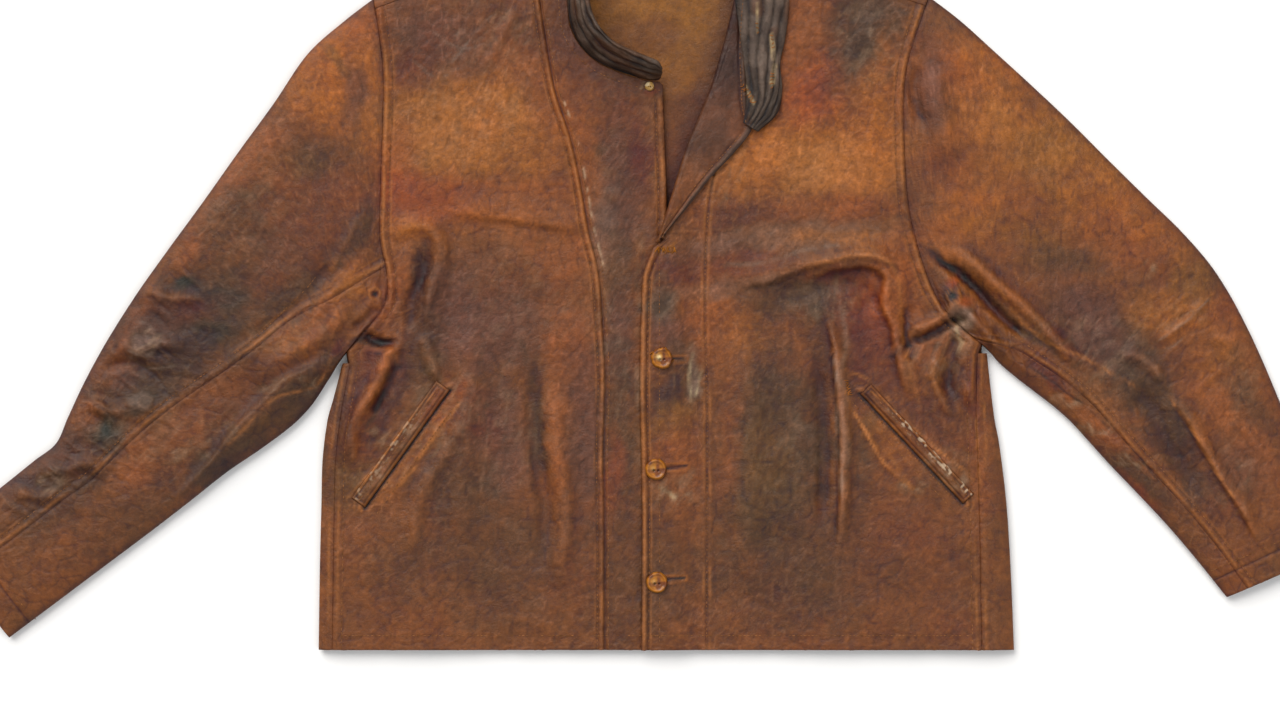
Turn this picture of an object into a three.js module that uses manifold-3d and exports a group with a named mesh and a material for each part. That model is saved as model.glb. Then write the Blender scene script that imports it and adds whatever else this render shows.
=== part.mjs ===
// A waist-length leather jacket, laid flat on its back on a level surface. It is buttoned below the
// chest, the top corner of its left front is turned back as a lapel, and a narrow band collar stands
// round the neck. Units are millimetres and +Z is up. The origin lies on the surface, under the
// middle of the chest: +X runs to the wearer's left, +Y to the collar.
import * as THREE from "three";
import Module from "manifold-3d";

const wasm = await Module();
wasm.setup();

// Driving sizes
const HIDE = 2; // thickness of the leather with its backing
const LAPEL_THICK = 2.6; // front and facing, sewn together
const COLLAR_THICK = 2.8;
const SEAM_GAP = 0.3; // between two pieces that are sewn together
const EDGE_HEIGHT = 5; // where a folded edge is widest
const EDGE_UNDER = 6; // how far in a folded edge reaches the surface below
const EDGE_OVER = 22; // how far in a folded edge reaches its full height above
const HEM_Y = -261;
const BODY_LOFT = 7.6; // height of the front over the middle of the body
const ARMHOLE_LOFT = 7.9; // height of the front at the armholes
const SLEEVE_LOFT = 7.9; // height of a sleeve over its middle
const LEAST_LOFT = 2 * HIDE + 0.8; // the front at its lowest, just clear of the back
const OVERLAP_LIFT = 3.4; // the left front lies this much higher on the right front
const ROLL_RADIUS = 3.8; // outer radius of the lapel's roll
const FLAP_GAP = 0.8; // between the lapel and the front under it
const CUT_ROOM = 3; // how far a piece reaches past its seam before it is cut there
const UNDER_SEAM = 0.16; // the sleeve's underside seam, as a share of its width from the outer edge
const BUTTON_RADIUS = 9.5;
const BUTTON_THICK = 3.2;
const STUD_RADIUS = 4.2;
const WELT_THICK = 1.4;

// How finely the pieces are divided
const FRONT_ACROSS = 20;
const FRONT_ALONG = 28;
const BACK_ACROSS = 16;
const BACK_ALONG = 20;
const SHOULDER_COLUMNS = 5;
const ROUND_STEPS = 6;
const SLEEVE_ALONG = 20;
const SLEEVE_OVER_STEPS = 14;
const SLEEVE_INNER_STEPS = 6;
const SLEEVE_UNDER_STEPS = 4;
const LAPEL_ALONG = 20;
const LAPEL_ROUND_STEPS = 5;
const LAPEL_FLAT_STEPS = 6;
const COLLAR_ALONG = 46;
const COLLAR_ACROSS = 4;
const OUTLINE_STEPS = 24;
const FOLD_STEPS = 10;

// Outline of the body, seen from above. The sides run from the hem up to the armpit.
const SIDE_RIGHT = [
  { at: "hem", x: -289.5, y: HEM_Y },
  { at: "hip", x: -288.5, y: -190 },
  { at: "pocket", x: -287, y: -128 },
  { at: "waist", x: -286, y: -90 },
  { at: "ribs", x: -281.5, y: -54 },
  { at: "fold", x: -276, y: -34 },
  { at: "armpit", x: -268, y: -3 },
];
const SIDE_LEFT = [
  { at: "hem", x: 337, y: HEM_Y },
  { at: "hip", x: 334, y: -190 },
  { at: "pocket", x: 330, y: -128 },
  { at: "waist", x: 323.5, y: -75 },
  { at: "ribs", x: 319.5, y: -54 },
  { at: "fold", x: 315, y: -18 },
  { at: "armpit", x: 312.5, y: 6 },
];
// The side seams, where the back comes round to the front.
const SEAM_RIGHT = [
  { at: "hem", x: -277, y: HEM_Y },
  { at: "pocket", x: -275, y: -128 },
  { at: "waist", x: -274, y: -90 },
  { at: "ribs", x: -270, y: -54 },
  { at: "armpit", x: -261, y: -3 },
];
const SEAM_LEFT = [
  { at: "hem", x: 307.5, y: HEM_Y },
  { at: "pocket", x: 305, y: -128 },
  { at: "waist", x: 303.5, y: -75 },
  { at: "ribs", x: 302.5, y: -43 },
  { at: "armpit", x: 304, y: 6 },
];
// The armholes, from the shoulder down to the armpit.
const ARMHOLE_RIGHT = [
  { at: "shoulder", x: -240, y: 325.5 },
  { at: "cap", x: -235.5, y: 298 },
  { at: "upper", x: -231.3, y: 262 },
  { at: "back width", x: -231.3, y: 225 },
  { at: "chest", x: -233.5, y: 160 },
  { at: "lower", x: -234, y: 108 },
  { at: "turn", x: -228, y: 77 },
  { at: "under", x: -229, y: 52 },
  { at: "inner", x: -246, y: 28 },
  { at: "armpit", x: -268.5, y: 4.5 },
];
const ARMHOLE_LEFT = [
  { at: "shoulder", x: 260, y: 327.5 },
  { at: "cap", x: 250, y: 298 },
  { at: "upper", x: 240, y: 262 },
  { at: "back width", x: 237.5, y: 215 },
  { at: "chest", x: 241, y: 146 },
  { at: "lower", x: 248.5, y: 108 },
  { at: "turn", x: 261, y: 70 },
  { at: "under", x: 275, y: 44 },
  { at: "inner", x: 293, y: 27 },
  { at: "armpit", x: 313, y: 13 },
];
// The shoulders: the fold is the outline, and the seam lies in front of it.
const SHOULDER_DROP = 10;
const NECK_POINT_RIGHT = [-69.3, 387.5];
const NECK_POINT_LEFT = [97.2, 385];
// The front edges, from the hem up.
const FRONT_EDGE_RIGHT = [
  { at: "hem", x: 25.2, y: HEM_Y },
  { at: "waist", x: 25.2, y: -60 },
  { at: "chest", x: 24.3, y: 143 },
  { at: "top", x: 20.7, y: 247.5 },
];
const NECK_RIGHT = [
  { at: "front edge", x: 19.8, y: 250.2 },
  { at: "front", x: 2, y: 252.5 },
  { at: "curve", x: -30.6, y: 263.7 },
  { at: "turn", x: -48.6, y: 276.3 },
  { at: "side", x: -62.1, y: 297 },
  { at: "neck", x: -65.7, y: 324 },
  { at: "shoulder", x: -69.3, y: NECK_POINT_RIGHT[1] - SHOULDER_DROP },
];
const FRONT_EDGE_LEFT = [
  { at: "hem", x: 0.9, y: HEM_Y },
  { at: "pocket", x: 1.4, y: -128.7 },
  { at: "waist", x: -0.5, y: -20 },
  { at: "chest", x: 1.4, y: 63 },
  { at: "turn", x: 3.2, y: 80 },
  { at: "break", x: 12, y: 101 },
];
// The lapel, from its lower end up: the roll that it turns over, and its free edge and collar seam.
const LAPEL = [
  { at: "break", rollX: 14.5, rollY: 106, outerX: 25.5, outerY: 116.5 },
  { at: "low", rollX: 22, rollY: 128, outerX: 41, outerY: 135 },
  { at: "middle", rollX: 31, rollY: 157, outerX: 62, outerY: 162 },
  { at: "high", rollX: 43.2, rollY: 196, outerX: 87, outerY: 189 },
  { at: "corner", rollX: 52, rollY: 216, outerX: 101, outerY: 209 },
  { at: "notch", rollX: 58, rollY: 231, outerX: 98, outerY: 229 },
  { at: "collar end", rollX: 65, rollY: 250, outerX: 97, outerY: 249 },
  { at: "collar", rollX: 72.9, rollY: 277, outerX: 96, outerY: 276 },
  { at: "collar top", rollX: 80, rollY: 304, outerX: 97, outerY: 303 },
  { at: "top", rollX: 85, rollY: 327, outerX: 99, outerY: 326 },
];
const ROLL_INSET = 5.5; // the left front stops this far inside the roll
const NECK_BACK_DIP = 18; // depth of the back neck below the shoulders

// Sleeves: each row is a section from the outer edge to the inner edge, and seam is the place of the
// front seam across its width, counted from the outer edge.
const SLEEVE_RIGHT = [
  { at: "shoulder", outerX: -240, outerY: 325.5, innerX: -268.5, innerY: 4.5, seam: 0.72 },
  { at: "cap", outerX: -265.5, outerY: 306, innerX: -270.5, innerY: 0.5, seam: 0.715 },
  { at: "cap end", outerX: -298.8, outerY: 276.3, innerX: -274, innerY: -6.5, seam: 0.71 },
  { at: "biceps", outerX: -330, outerY: 231, innerX: -278, innerY: -14, seam: 0.7 },
  { at: "upper arm", outerX: -362, outerY: 187, innerX: -282.5, innerY: -21, seam: 0.68 },
  { at: "lower biceps", outerX: -395, outerY: 140.5, innerX: -288.5, innerY: -30.5, seam: 0.655 },
  { at: "above elbow", outerX: -425, outerY: 99.5, innerX: -297.5, innerY: -43, seam: 0.625 },
  { at: "elbow", outerX: -453, outerY: 60, innerX: -314, innerY: -59.5, seam: 0.58 },
  { at: "below elbow", outerX: -480, outerY: 17.5, innerX: -342, innerY: -80.5, seam: 0.52 },
  { at: "forearm", outerX: -500, outerY: -19, innerX: -372, innerY: -101, seam: 0.47 },
  { at: "mid forearm", outerX: -515, outerY: -51, innerX: -405, innerY: -127, seam: 0.425 },
  { at: "bend", outerX: -526, outerY: -75, innerX: -440, innerY: -154, seam: 0.4 },
  { at: "lower arm", outerX: -546, outerY: -91, innerX: -478, innerY: -182.5, seam: 0.39 },
  { at: "wrist", outerX: -576, outerY: -115, innerX: -508, innerY: -205, seam: 0.39 },
  { at: "above cuff", outerX: -606, outerY: -137, innerX: -538, innerY: -227.5, seam: 0.39 },
  { at: "cuff", outerX: -637, outerY: -159, innerX: -568, innerY: -250, seam: 0.39 },
];
const SLEEVE_LEFT = [
  { at: "shoulder", outerX: 260, outerY: 327.5, innerX: 313, innerY: 13, seam: 0.94 },
  { at: "cap", outerX: 288, outerY: 306, innerX: 315, innerY: 9, seam: 0.935 },
  { at: "cap end", outerX: 318, outerY: 279, innerX: 317.5, innerY: 5, seam: 0.93 },
  { at: "biceps", outerX: 352, outerY: 248, innerX: 320.5, innerY: 0.5, seam: 0.92 },
  { at: "upper arm", outerX: 387, outerY: 215, innerX: 325.5, innerY: -4.5, seam: 0.91 },
  { at: "lower biceps", outerX: 422, outerY: 180, innerX: 333, innerY: -11, seam: 0.9 },
  { at: "above elbow", outerX: 456, outerY: 146.5, innerX: 343.5, innerY: -19.5, seam: 0.89 },
  { at: "elbow", outerX: 486, outerY: 117.5, innerX: 358, innerY: -30.5, seam: 0.88 },
  { at: "elbow point", outerX: 512, outerY: 88, innerX: 374, innerY: -43, seam: 0.875 },
  { at: "below elbow", outerX: 530, outerY: 61, innerX: 388.5, innerY: -56, seam: 0.87 },
  { at: "forearm", outerX: 546, outerY: 31, innerX: 404, innerY: -73, seam: 0.865 },
  { at: "mid forearm", outerX: 561, outerY: -1, innerX: 423, innerY: -94, seam: 0.86 },
  { at: "lower arm", outerX: 577, outerY: -39, innerX: 447, innerY: -119, seam: 0.85 },
  { at: "wrist", outerX: 596, outerY: -82, innerX: 476, innerY: -150, seam: 0.84 },
  { at: "above cuff", outerX: 615, outerY: -126, innerX: 504, innerY: -183, seam: 0.83 },
  { at: "cuff", outerX: 633, outerY: -168, innerX: 528.5, innerY: -213.6, seam: 0.83 },
];

// The main folds. Each runs from its start past its middle to its end; height is above zero for a
// ridge and below it for a trough, and width is half the fold's breadth.
const FOLDS = [
  { at: "right side ridge", x0: -221, y0: 14, x1: -238, y1: -28, x2: -258, y2: -84, width: 9, height: 6 },
  { at: "right side groove", x0: -212, y0: 16, x1: -225, y1: -16, x2: -240, y2: -62, width: 6, height: -4 },
  { at: "right chest trough", x0: -198, y0: 70, x1: -192, y1: 20, x2: -180, y2: -20, width: 14, height: -3 },
  { at: "right belly trough", x0: -112, y0: 0, x1: -120, y1: -80, x2: -112, y2: -190, width: 16, height: -3 },
  { at: "right belly ridge", x0: -150, y0: 20, x1: -158, y1: -70, x2: -148, y2: -200, width: 20, height: 3 },
  { at: "left chest arc", x0: 72, y0: 80, x1: 150, y1: 88, x2: 226, y2: 86, width: 10, height: 5 },
  { at: "left chest drop", x0: 222, y0: 78, x1: 226, y1: 22, x2: 254, y2: -46, width: 8, height: 6 },
  { at: "left chest hollow", x0: 110, y0: 62, x1: 150, y1: 64, x2: 196, y2: 60, width: 13, height: -3.5 },
  { at: "left drop trough", x0: 208, y0: 56, x1: 212, y1: 8, x2: 236, y2: -45, width: 7, height: -3.5 },
  { at: "left armpit step", x0: 236, y0: 10, x1: 262, y1: 26, x2: 296, y2: 36, width: 7, height: 4 },
  { at: "left side hollow", x0: 280, y0: 30, x1: 283, y1: -8, x2: 282, y2: -48, width: 9, height: -3.5 },
  { at: "left belly ridge", x0: 173, y0: 14, x1: 178, y1: -56, x2: 183, y2: -170, width: 8, height: 4 },
  { at: "left belly trough", x0: 150, y0: 0, x1: 155, y1: -70, x2: 160, y2: -190, width: 13, height: -3 },
  { at: "right sleeve trough", x0: -250, y0: 84, x1: -330, y1: 12, x2: -424, y2: -56, width: 10, height: -4 },
  { at: "right sleeve ridge", x0: -256, y0: 44, x1: -308, y1: -10, x2: -384, y2: -88, width: 12, height: 5 },
  { at: "right elbow ridge", x0: -480, y0: 32, x1: -436, y1: 22, x2: -400, y2: 40, width: 13, height: 4 },
  { at: "right bend trough", x0: -512, y0: -50, x1: -486, y1: -64, x2: -450, y2: -62, width: 10, height: -4 },
  { at: "left sleeve trough", x0: 262, y0: 96, x1: 307, y1: 62, x2: 366, y2: 12, width: 10, height: -5 },
  { at: "left sleeve ridge", x0: 256, y0: 124, x1: 320, y1: 88, x2: 410, y2: 30, width: 14, height: 4 },
  { at: "left under ridge", x0: 288, y0: 58, x1: 326, y1: 14, x2: 420, y2: -70, width: 9, height: 4 },
  { at: "left elbow trough", x0: 474, y0: -20, x1: 500, y1: -70, x2: 534, y2: -122, width: 9, height: -3.5 },
  { at: "left elbow ridge", x0: 500, y0: 62, x1: 456, y1: 44, x2: 420, y2: 6, width: 13, height: 4 },
];

// The collar band, from its right front end round the back of the neck to its end by the lapel. base
// is the seam, mid the crease along the band, and edge the free edge, all on the band's outer face.
const COLLAR = [
  { at: "right end", baseX: 19.5, baseY: 250.5, baseZ: 8.5, midX: 19.3, midY: 257, midZ: 24, edgeX: 19, edgeY: 264, edgeZ: 35 },
  { at: "right front", baseX: 2, baseY: 253.2, baseZ: 8.5, midX: 3, midY: 261, midZ: 25, edgeX: 4, edgeY: 270, edgeZ: 37 },
  { at: "right curve", baseX: -30.6, baseY: 264.5, baseZ: 8.5, midX: -27, midY: 273, midZ: 25, edgeX: -23, edgeY: 282, edgeZ: 38 },
  { at: "right turn", baseX: -48.6, baseY: 277, baseZ: 8.5, midX: -42, midY: 285, midZ: 25, edgeX: -35, edgeY: 293, edgeZ: 38 },
  { at: "right neck", baseX: -61.5, baseY: 298, baseZ: 8.5, midX: -53, midY: 303, midZ: 25, edgeX: -44, edgeY: 309, edgeZ: 37 },
  { at: "right side", baseX: -65.5, baseY: 324, baseZ: 8.5, midX: -57, midY: 328, midZ: 24, edgeX: -48.6, edgeY: 332, edgeZ: 36 },
  { at: "right shoulder", baseX: -65, baseY: 358, baseZ: 8.5, midX: -60, midY: 370, midZ: 21, edgeX: -55, edgeY: 381, edgeZ: 31 },
  { at: "right back", baseX: -45, baseY: 370, baseZ: 4, midX: -45, midY: 387, midZ: 8, edgeX: -46, edgeY: 402, edgeZ: 15 },
  { at: "back", baseX: 14, baseY: 363, baseZ: 2.5, midX: 14, midY: 382, midZ: 2.5, edgeX: 14, edgeY: 399, edgeZ: 4.5 },
  { at: "left back", baseX: 70, baseY: 369, baseZ: 4, midX: 74, midY: 386, midZ: 7, edgeX: 79, edgeY: 400, edgeZ: 10 },
  { at: "left shoulder", baseX: 87, baseY: 356, baseZ: 10.6, midX: 103, midY: 369, midZ: 15.6, edgeX: 118, edgeY: 379, edgeZ: 11.1 },
  { at: "left side", baseX: 86, baseY: 324, baseZ: 13.4, midX: 112, midY: 327, midZ: 16.6, edgeX: 132, edgeY: 327, edgeZ: 10.1 },
  { at: "left neck", baseX: 90.5, baseY: 290, baseZ: 13.4, midX: 112, midY: 291, midZ: 15.6, edgeX: 129.6, edgeY: 291, edgeZ: 10.1 },
  { at: "left front", baseX: 94, baseY: 266, baseZ: 13.2, midX: 111.6, midY: 267, midZ: 15.1, edgeX: 124.5, edgeY: 267, edgeZ: 10.1 },
  { at: "left curve", baseX: 96, baseY: 243, baseZ: 13, midX: 115, midY: 243, midZ: 14.6, edgeX: 126, edgeY: 242, edgeZ: 10.1 },
  { at: "left turn", baseX: 95, baseY: 226, baseZ: 12.8, midX: 110, midY: 224, midZ: 14.1, edgeX: 122, edgeY: 222, edgeZ: 10.1 },
  { at: "left end", baseX: 93.5, baseY: 213, baseZ: 12.8, midX: 99, midY: 209, midZ: 13.6, edgeX: 105, edgeY: 206, edgeZ: 11.1 },
];

// Pocket welts, along the slit from its upper end to its lower end. out is the side of the slit that
// the welt lies on, and width the welt's breadth.
const WELTS = [
  { name: "welt_right", topX: -171, topY: -27, lowX: -247.5, lowY: -133, out: -1, width: 15 },
  { name: "welt_left", topX: 198, topY: -30.6, lowX: 290.5, lowY: -129.5, out: 1, width: 13.5 },
];
const WELT_ALONG = 16;
const WELT_ACROSS = 3;
const BUTTONS = [
  { name: "button_upper", x: 19.8, y: 1.8 },
  { name: "button_middle", x: 14.4, y: -98.1 },
  { name: "button_lower", x: 15.3, y: -199.8 },
];
const STUD = { x: 8.6, y: 246.5 };

const COLOURS = {
  body: { color: 0x7d4f36, roughness: 0.55, metalness: 0 },
  sleeve: { color: 0x744a33, roughness: 0.55, metalness: 0 },
  facing: { color: 0x5f4033, roughness: 0.6, metalness: 0 },
  collar: { color: 0x3d3431, roughness: 0.6, metalness: 0 },
  button: { color: 0x9c6634, roughness: 0.4, metalness: 0 },
  stud: { color: 0xb8a070, roughness: 0.35, metalness: 0.8 },
};

// Small helpers
const mix = (a, b, t) => a + (b - a) * t;
const clamp = (t) => Math.min(1, Math.max(0, t));
const smooth = (t) => clamp(t) ** 2 * (3 - 2 * clamp(t));
// Height of a quarter-round edge at a share t of its breadth.
const arch = (t) => (t >= 1 ? 1 : Math.sqrt(1 - (1 - Math.max(0, t)) ** 2));
const plan = (rows) => rows.map((row) => [row.x, row.y]);
const shares = (steps) => Array.from({ length: steps + 1 }, (_, i) => i / steps);
const straight = (a, b) => (t) => [mix(a[0], b[0], t), mix(a[1], b[1], t)];
const moved = (line, dx) => (t) => [line(t)[0] + dx, line(t)[1]];
const reversed = (line) => (t) => line(1 - t);
const stretch = (line, from, to) => (t) => line(mix(from, to, t));

// A smooth line through rows of numbers, as a function of the share of its length in the plane.
function smoothLine(rows, lengthOf = (a, b) => Math.hypot(b[0] - a[0], b[1] - a[1])) {
  const at = [0];
  for (let i = 1; i < rows.length; i++) at.push(at[i - 1] + lengthOf(rows[i - 1], rows[i]));
  const last = rows.length - 1;
  const slope = (i, k) => {
    const a = Math.max(0, i - 1);
    const b = Math.min(last, i + 1);
    return (rows[b][k] - rows[a][k]) / (at[b] - at[a]);
  };
  return (share) => {
    const u = clamp(share) * at[last];
    let i = 0;
    while (i < last - 1 && at[i + 1] < u) i++;
    const h = at[i + 1] - at[i];
    const t = (u - at[i]) / h;
    return rows[i].map(
      (v, k) =>
        (1 + 2 * t) * (1 - t) ** 2 * v +
        t * (1 - t) ** 2 * h * slope(i, k) +
        t * t * (3 - 2 * t) * rows[i + 1][k] +
        t * t * (t - 1) * h * slope(i + 1, k),
    );
  };
}

// Lines end to end, each with its own portion of the whole.
function joined(parts) {
  return (share) => {
    let from = 0;
    for (const [i, { line, portion }] of parts.entries()) {
      if (share <= from + portion + 1e-9 || i === parts.length - 1) return line((share - from) / portion);
      from += portion;
    }
  };
}

function nearSegment(x, y, [ax, ay], [bx, by]) {
  const dx = bx - ax;
  const dy = by - ay;
  const t = clamp(((x - ax) * dx + (y - ay) * dy) / (dx * dx + dy * dy));
  return { far: Math.hypot(x - ax - t * dx, y - ay - t * dy), t };
}

function distanceToLine(x, y, points) {
  let best = Infinity;
  for (let i = 1; i < points.length; i++) {
    best = Math.min(best, nearSegment(x, y, points[i - 1], points[i]).far);
  }
  return best;
}

// The x of a line of points at a height y, where y only rises along it.
function lineX(points, y) {
  let k = 1;
  while (k < points.length - 1 && points[k][1] < y) k++;
  const [a, b] = [points[k - 1], points[k]];
  return mix(a[0], b[0], (y - a[1]) / (b[1] - a[1]));
}

const outlineOf = (rows) => shares(OUTLINE_STEPS).map(smoothLine(plan(rows)));
const EDGE = {
  sideRight: outlineOf(SIDE_RIGHT),
  sideLeft: outlineOf(SIDE_LEFT),
  seamRight: outlineOf(SEAM_RIGHT),
  seamLeft: outlineOf(SEAM_LEFT),
  frontRight: outlineOf(FRONT_EDGE_RIGHT),
};
const armholeRight = smoothLine(plan(ARMHOLE_RIGHT));
const armholeLeft = smoothLine(plan(ARMHOLE_LEFT));
const SHOULDER_EDGES = [
  [armholeRight(0), NECK_POINT_RIGHT],
  [armholeLeft(0), NECK_POINT_LEFT],
];

// Heights of the top surface
const FOLD_LINES = FOLDS.map((f) => {
  const bend = new THREE.QuadraticBezierCurve(
    new THREE.Vector2(f.x0, f.y0),
    new THREE.Vector2(2 * f.x1 - (f.x0 + f.x2) / 2, 2 * f.y1 - (f.y0 + f.y2) / 2),
    new THREE.Vector2(f.x2, f.y2),
  );
  return { ...f, points: bend.getPoints(FOLD_STEPS).map((p) => [p.x, p.y]) };
});

// What the folds add at a point.
function foldHeight(x, y) {
  let sum = 0;
  for (const f of FOLD_LINES) {
    let near = { far: Infinity, t: 0 };
    for (let i = 1; i < f.points.length; i++) {
      const d = nearSegment(x, y, f.points[i - 1], f.points[i]);
      if (d.far < near.far) near = { far: d.far, t: (i - 1 + d.t) / FOLD_STEPS };
    }
    const taper = smooth(near.t / 0.25) * smooth((1 - near.t) / 0.25);
    sum += f.height * taper * Math.exp(-((near.far / f.width) ** 2));
  }
  return sum;
}

// Outer height of the body's front at a point.
function bodyTop(x, y) {
  const side = Math.min(distanceToLine(x, y, EDGE.sideRight), distanceToLine(x, y, EDGE.sideLeft));
  const shoulder = Math.min(...SHOULDER_EDGES.map((line) => distanceToLine(x, y, line)));
  const round = arch(side / EDGE_OVER) * arch(shoulder / EDGE_OVER);
  const calm = smooth(Math.min(side, shoulder) / EDGE_OVER);
  const loft = mix(BODY_LOFT, ARMHOLE_LOFT, smooth((Math.abs(x) - 110) / 110));
  const height = EDGE_HEIGHT + (loft - EDGE_HEIGHT) * round + foldHeight(x, y) * calm;
  return Math.max(height, mix(EDGE_HEIGHT, LEAST_LOFT, calm));
}

// Outer height of the left front, which lies on the right front near the buttons.
function leftTop(x, y) {
  const across = 1 - smooth((x - lineX(EDGE.frontRight, y) - 3) / 24);
  const along = 1 - smooth((y - 150) / 60);
  return bodyTop(x, y) + OVERLAP_LIFT * across * along;
}

// Closes an outer surface into a wall: the inner side is moved in along the normals, and the open
// edges are joined. Faces are three indices each, anticlockwise from outside.
function wall(points, faces, thickness) {
  const surface = new THREE.BufferGeometry();
  surface.setAttribute("position", new THREE.Float32BufferAttribute(points.flat(), 3));
  surface.setIndex(faces.flat());
  surface.computeVertexNormals();
  const normal = surface.getAttribute("normal");
  const count = points.length;
  const inner = points.map((p, i) => [
    p[0] - normal.getX(i) * thickness,
    p[1] - normal.getY(i) * thickness,
    p[2] - normal.getZ(i) * thickness,
  ]);
  const open = new Map();
  for (const face of faces) {
    for (let k = 0; k < 3; k++) {
      const [a, b] = [face[k], face[(k + 1) % 3]];
      if (!open.delete(`${b},${a}`)) open.set(`${a},${b}`, [a, b]);
    }
  }
  const rim = [...open.values()].flatMap(([a, b]) => [
    [b, a, count + a],
    [b, count + a, count + b],
  ]);
  const inside = faces.map(([a, b, c]) => [count + c, count + b, count + a]);
  const solid = new THREE.BufferGeometry();
  solid.setAttribute("position", new THREE.Float32BufferAttribute([...points, ...inner].flat(), 3));
  solid.setIndex([...faces, ...inside, ...rim].flat());
  solid.computeVertexNormals();
  return solid;
}

// A square of four corners, as two triangles; turned when the corners run clockwise.
function square(a, b, c, d, turned) {
  return turned
    ? [
        [a, c, b],
        [a, d, c],
      ]
    : [
        [a, b, c],
        [a, c, d],
      ];
}

// The faces of a grid of points with that many columns and rows.
function gridFaces(columns, rows, turned = false) {
  const faces = [];
  for (let j = 0; j < rows - 1; j++) {
    for (let i = 0; i < columns - 1; i++) {
      const a = j * columns + i;
      faces.push(...square(a, a + 1, a + columns + 1, a + columns, turned));
    }
  }
  return faces;
}

// Points of a patch between four lines: low and top run across, left and right run up.
function patch(low, top, left, right, across, along) {
  const points = [];
  for (const v of shares(along)) {
    for (const u of shares(across)) {
      const [a, b, c, d] = [low(0), low(1), top(0), top(1)];
      const [lowU, topU, leftV, rightV] = [low(u), top(u), left(v), right(v)];
      points.push(
        [0, 1].map(
          (k) =>
            mix(lowU[k], topU[k], v) +
            mix(leftV[k], rightV[k], u) -
            mix(mix(a[k], b[k], u), mix(c[k], d[k], u), v),
        ),
      );
    }
  }
  return points;
}

// Cuts at the seams
// The flat area of the fronts, inside the side, armhole and shoulder seams.
function frontArea() {
  const fine = shares(70);
  const shoulderSeam = (armhole, neckPoint) => [armhole(SHOULDER_SHARE), [neckPoint[0], neckPoint[1] - SHOULDER_DROP]];
  const right = [
    [EDGE.seamRight[0][0], HEM_Y - CUT_ROOM],
    ...EDGE.seamRight,
    ...fine.map(reversed(stretch(armholeRight, SHOULDER_SHARE, ARMPIT_SHARE))),
    shoulderSeam(armholeRight, NECK_POINT_RIGHT)[1],
  ];
  const left = [
    shoulderSeam(armholeLeft, NECK_POINT_LEFT)[1],
    ...fine.map(stretch(armholeLeft, SHOULDER_SHARE, ARMPIT_SHARE)),
    ...[...EDGE.seamLeft].reverse(),
    [EDGE.seamLeft[0][0], HEM_Y - CUT_ROOM],
  ];
  return wasm.CrossSection.ofPolygons([[...right, ...left]], "NonZero");
}

// The flat area of the whole body, inside the armholes and a little past the sides.
function bodyArea() {
  const fine = shares(70);
  const past = (line, dx) => line.map(([x, y]) => [x + dx, y]);
  const top = NECK_POINT_RIGHT[1] + CUT_ROOM;
  const right = [
    [EDGE.sideRight[0][0] - 1, HEM_Y - CUT_ROOM],
    ...past(EDGE.sideRight, -1),
    ...fine.map(reversed(armholeRight)),
    [armholeRight(0)[0], top],
  ];
  const left = [
    [armholeLeft(0)[0], top],
    ...fine.map(armholeLeft),
    ...past([...EDGE.sideLeft].reverse(), 1),
    [EDGE.sideLeft[0][0] + 1, HEM_Y - CUT_ROOM],
  ];
  return wasm.CrossSection.ofPolygons([[...right, ...left]], "NonZero");
}

const CUT_TOP = 60;
const CUT_SLACK = 0.02; // small faces along a cut are joined up within this distance
const upright = (area, from) => area.extrude(CUT_TOP - from).translate([0, 0, from]);

function solidOf(geometry) {
  const triVerts = new Uint32Array(geometry.index.array);
  const vertProperties = new Float32Array(geometry.getAttribute("position").array);
  return new wasm.Manifold(new wasm.Mesh({ numProp: 3, vertProperties, triVerts }));
}

// The largest part of a solid as a geometry, without the slivers that a cut leaves.
function geometryOf(solid) {
  const kept = solid.decompose().sort((a, b) => b.volume() - a.volume())[0];
  const mesh = kept.simplify(CUT_SLACK).getMesh();
  const geometry = new THREE.BufferGeometry();
  geometry.setAttribute("position", new THREE.Float32BufferAttribute(mesh.vertProperties, 3));
  geometry.setIndex([...mesh.triVerts]);
  geometry.computeVertexNormals();
  return geometry;
}

function piece(name, geometry, look) {
  const mesh = new THREE.Mesh(geometry, new THREE.MeshStandardMaterial(look));
  mesh.name = name;
  return mesh;
}

// Body
const SIDE_PORTION = 0.4; // the side's share of a panel's outer edge, below the armhole
const SHOULDER_SHARE = 0.028; // the armhole's share above the shoulder seam
const ARMPIT_SHARE = 0.985; // where the side seam meets the armhole
const BELOW_NECK_RIGHT = 0.74; // the right front edge's share, below the neck
const BELOW_BREAK_LEFT = 0.56; // the left front edge's share, below the lapel
const ROLL_PORTION = 0.36;

const FRONT_AREA = frontArea().offset(-SEAM_GAP / 2);
const BODY_AREA = bodyArea();

// The outer edge of a body panel: the side, then the armhole up to near the shoulder.
function outerEdge(side, armhole, inward, upTo) {
  return joined([
    { line: side, portion: SIDE_PORTION },
    { line: moved(reversed(stretch(armhole, upTo, ARMPIT_SHARE)), inward), portion: 1 - SIDE_PORTION },
  ]);
}

function frontRight() {
  const outer = outerEdge(moved(smoothLine(plan(SEAM_RIGHT)), -CUT_ROOM), armholeRight, -CUT_ROOM, SHOULDER_SHARE);
  const edge = joined([
    { line: smoothLine(plan(FRONT_EDGE_RIGHT)), portion: BELOW_NECK_RIGHT },
    { line: smoothLine(plan(NECK_RIGHT)), portion: 1 - BELOW_NECK_RIGHT },
  ]);
  const low = straight(outer(0), edge(0));
  const top = straight(outer(1), edge(1));
  const flat = patch(low, top, outer, edge, FRONT_ACROSS, FRONT_ALONG);
  const points = flat.map(([x, y]) => [x, y, bodyTop(x, y)]);
  const panel = solidOf(wall(points, gridFaces(FRONT_ACROSS + 1, FRONT_ALONG + 1), HIDE));
  const cut = panel.intersect(upright(FRONT_AREA, 0));
  return piece("front_right", geometryOf(cut), COLOURS.body);
}

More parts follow.
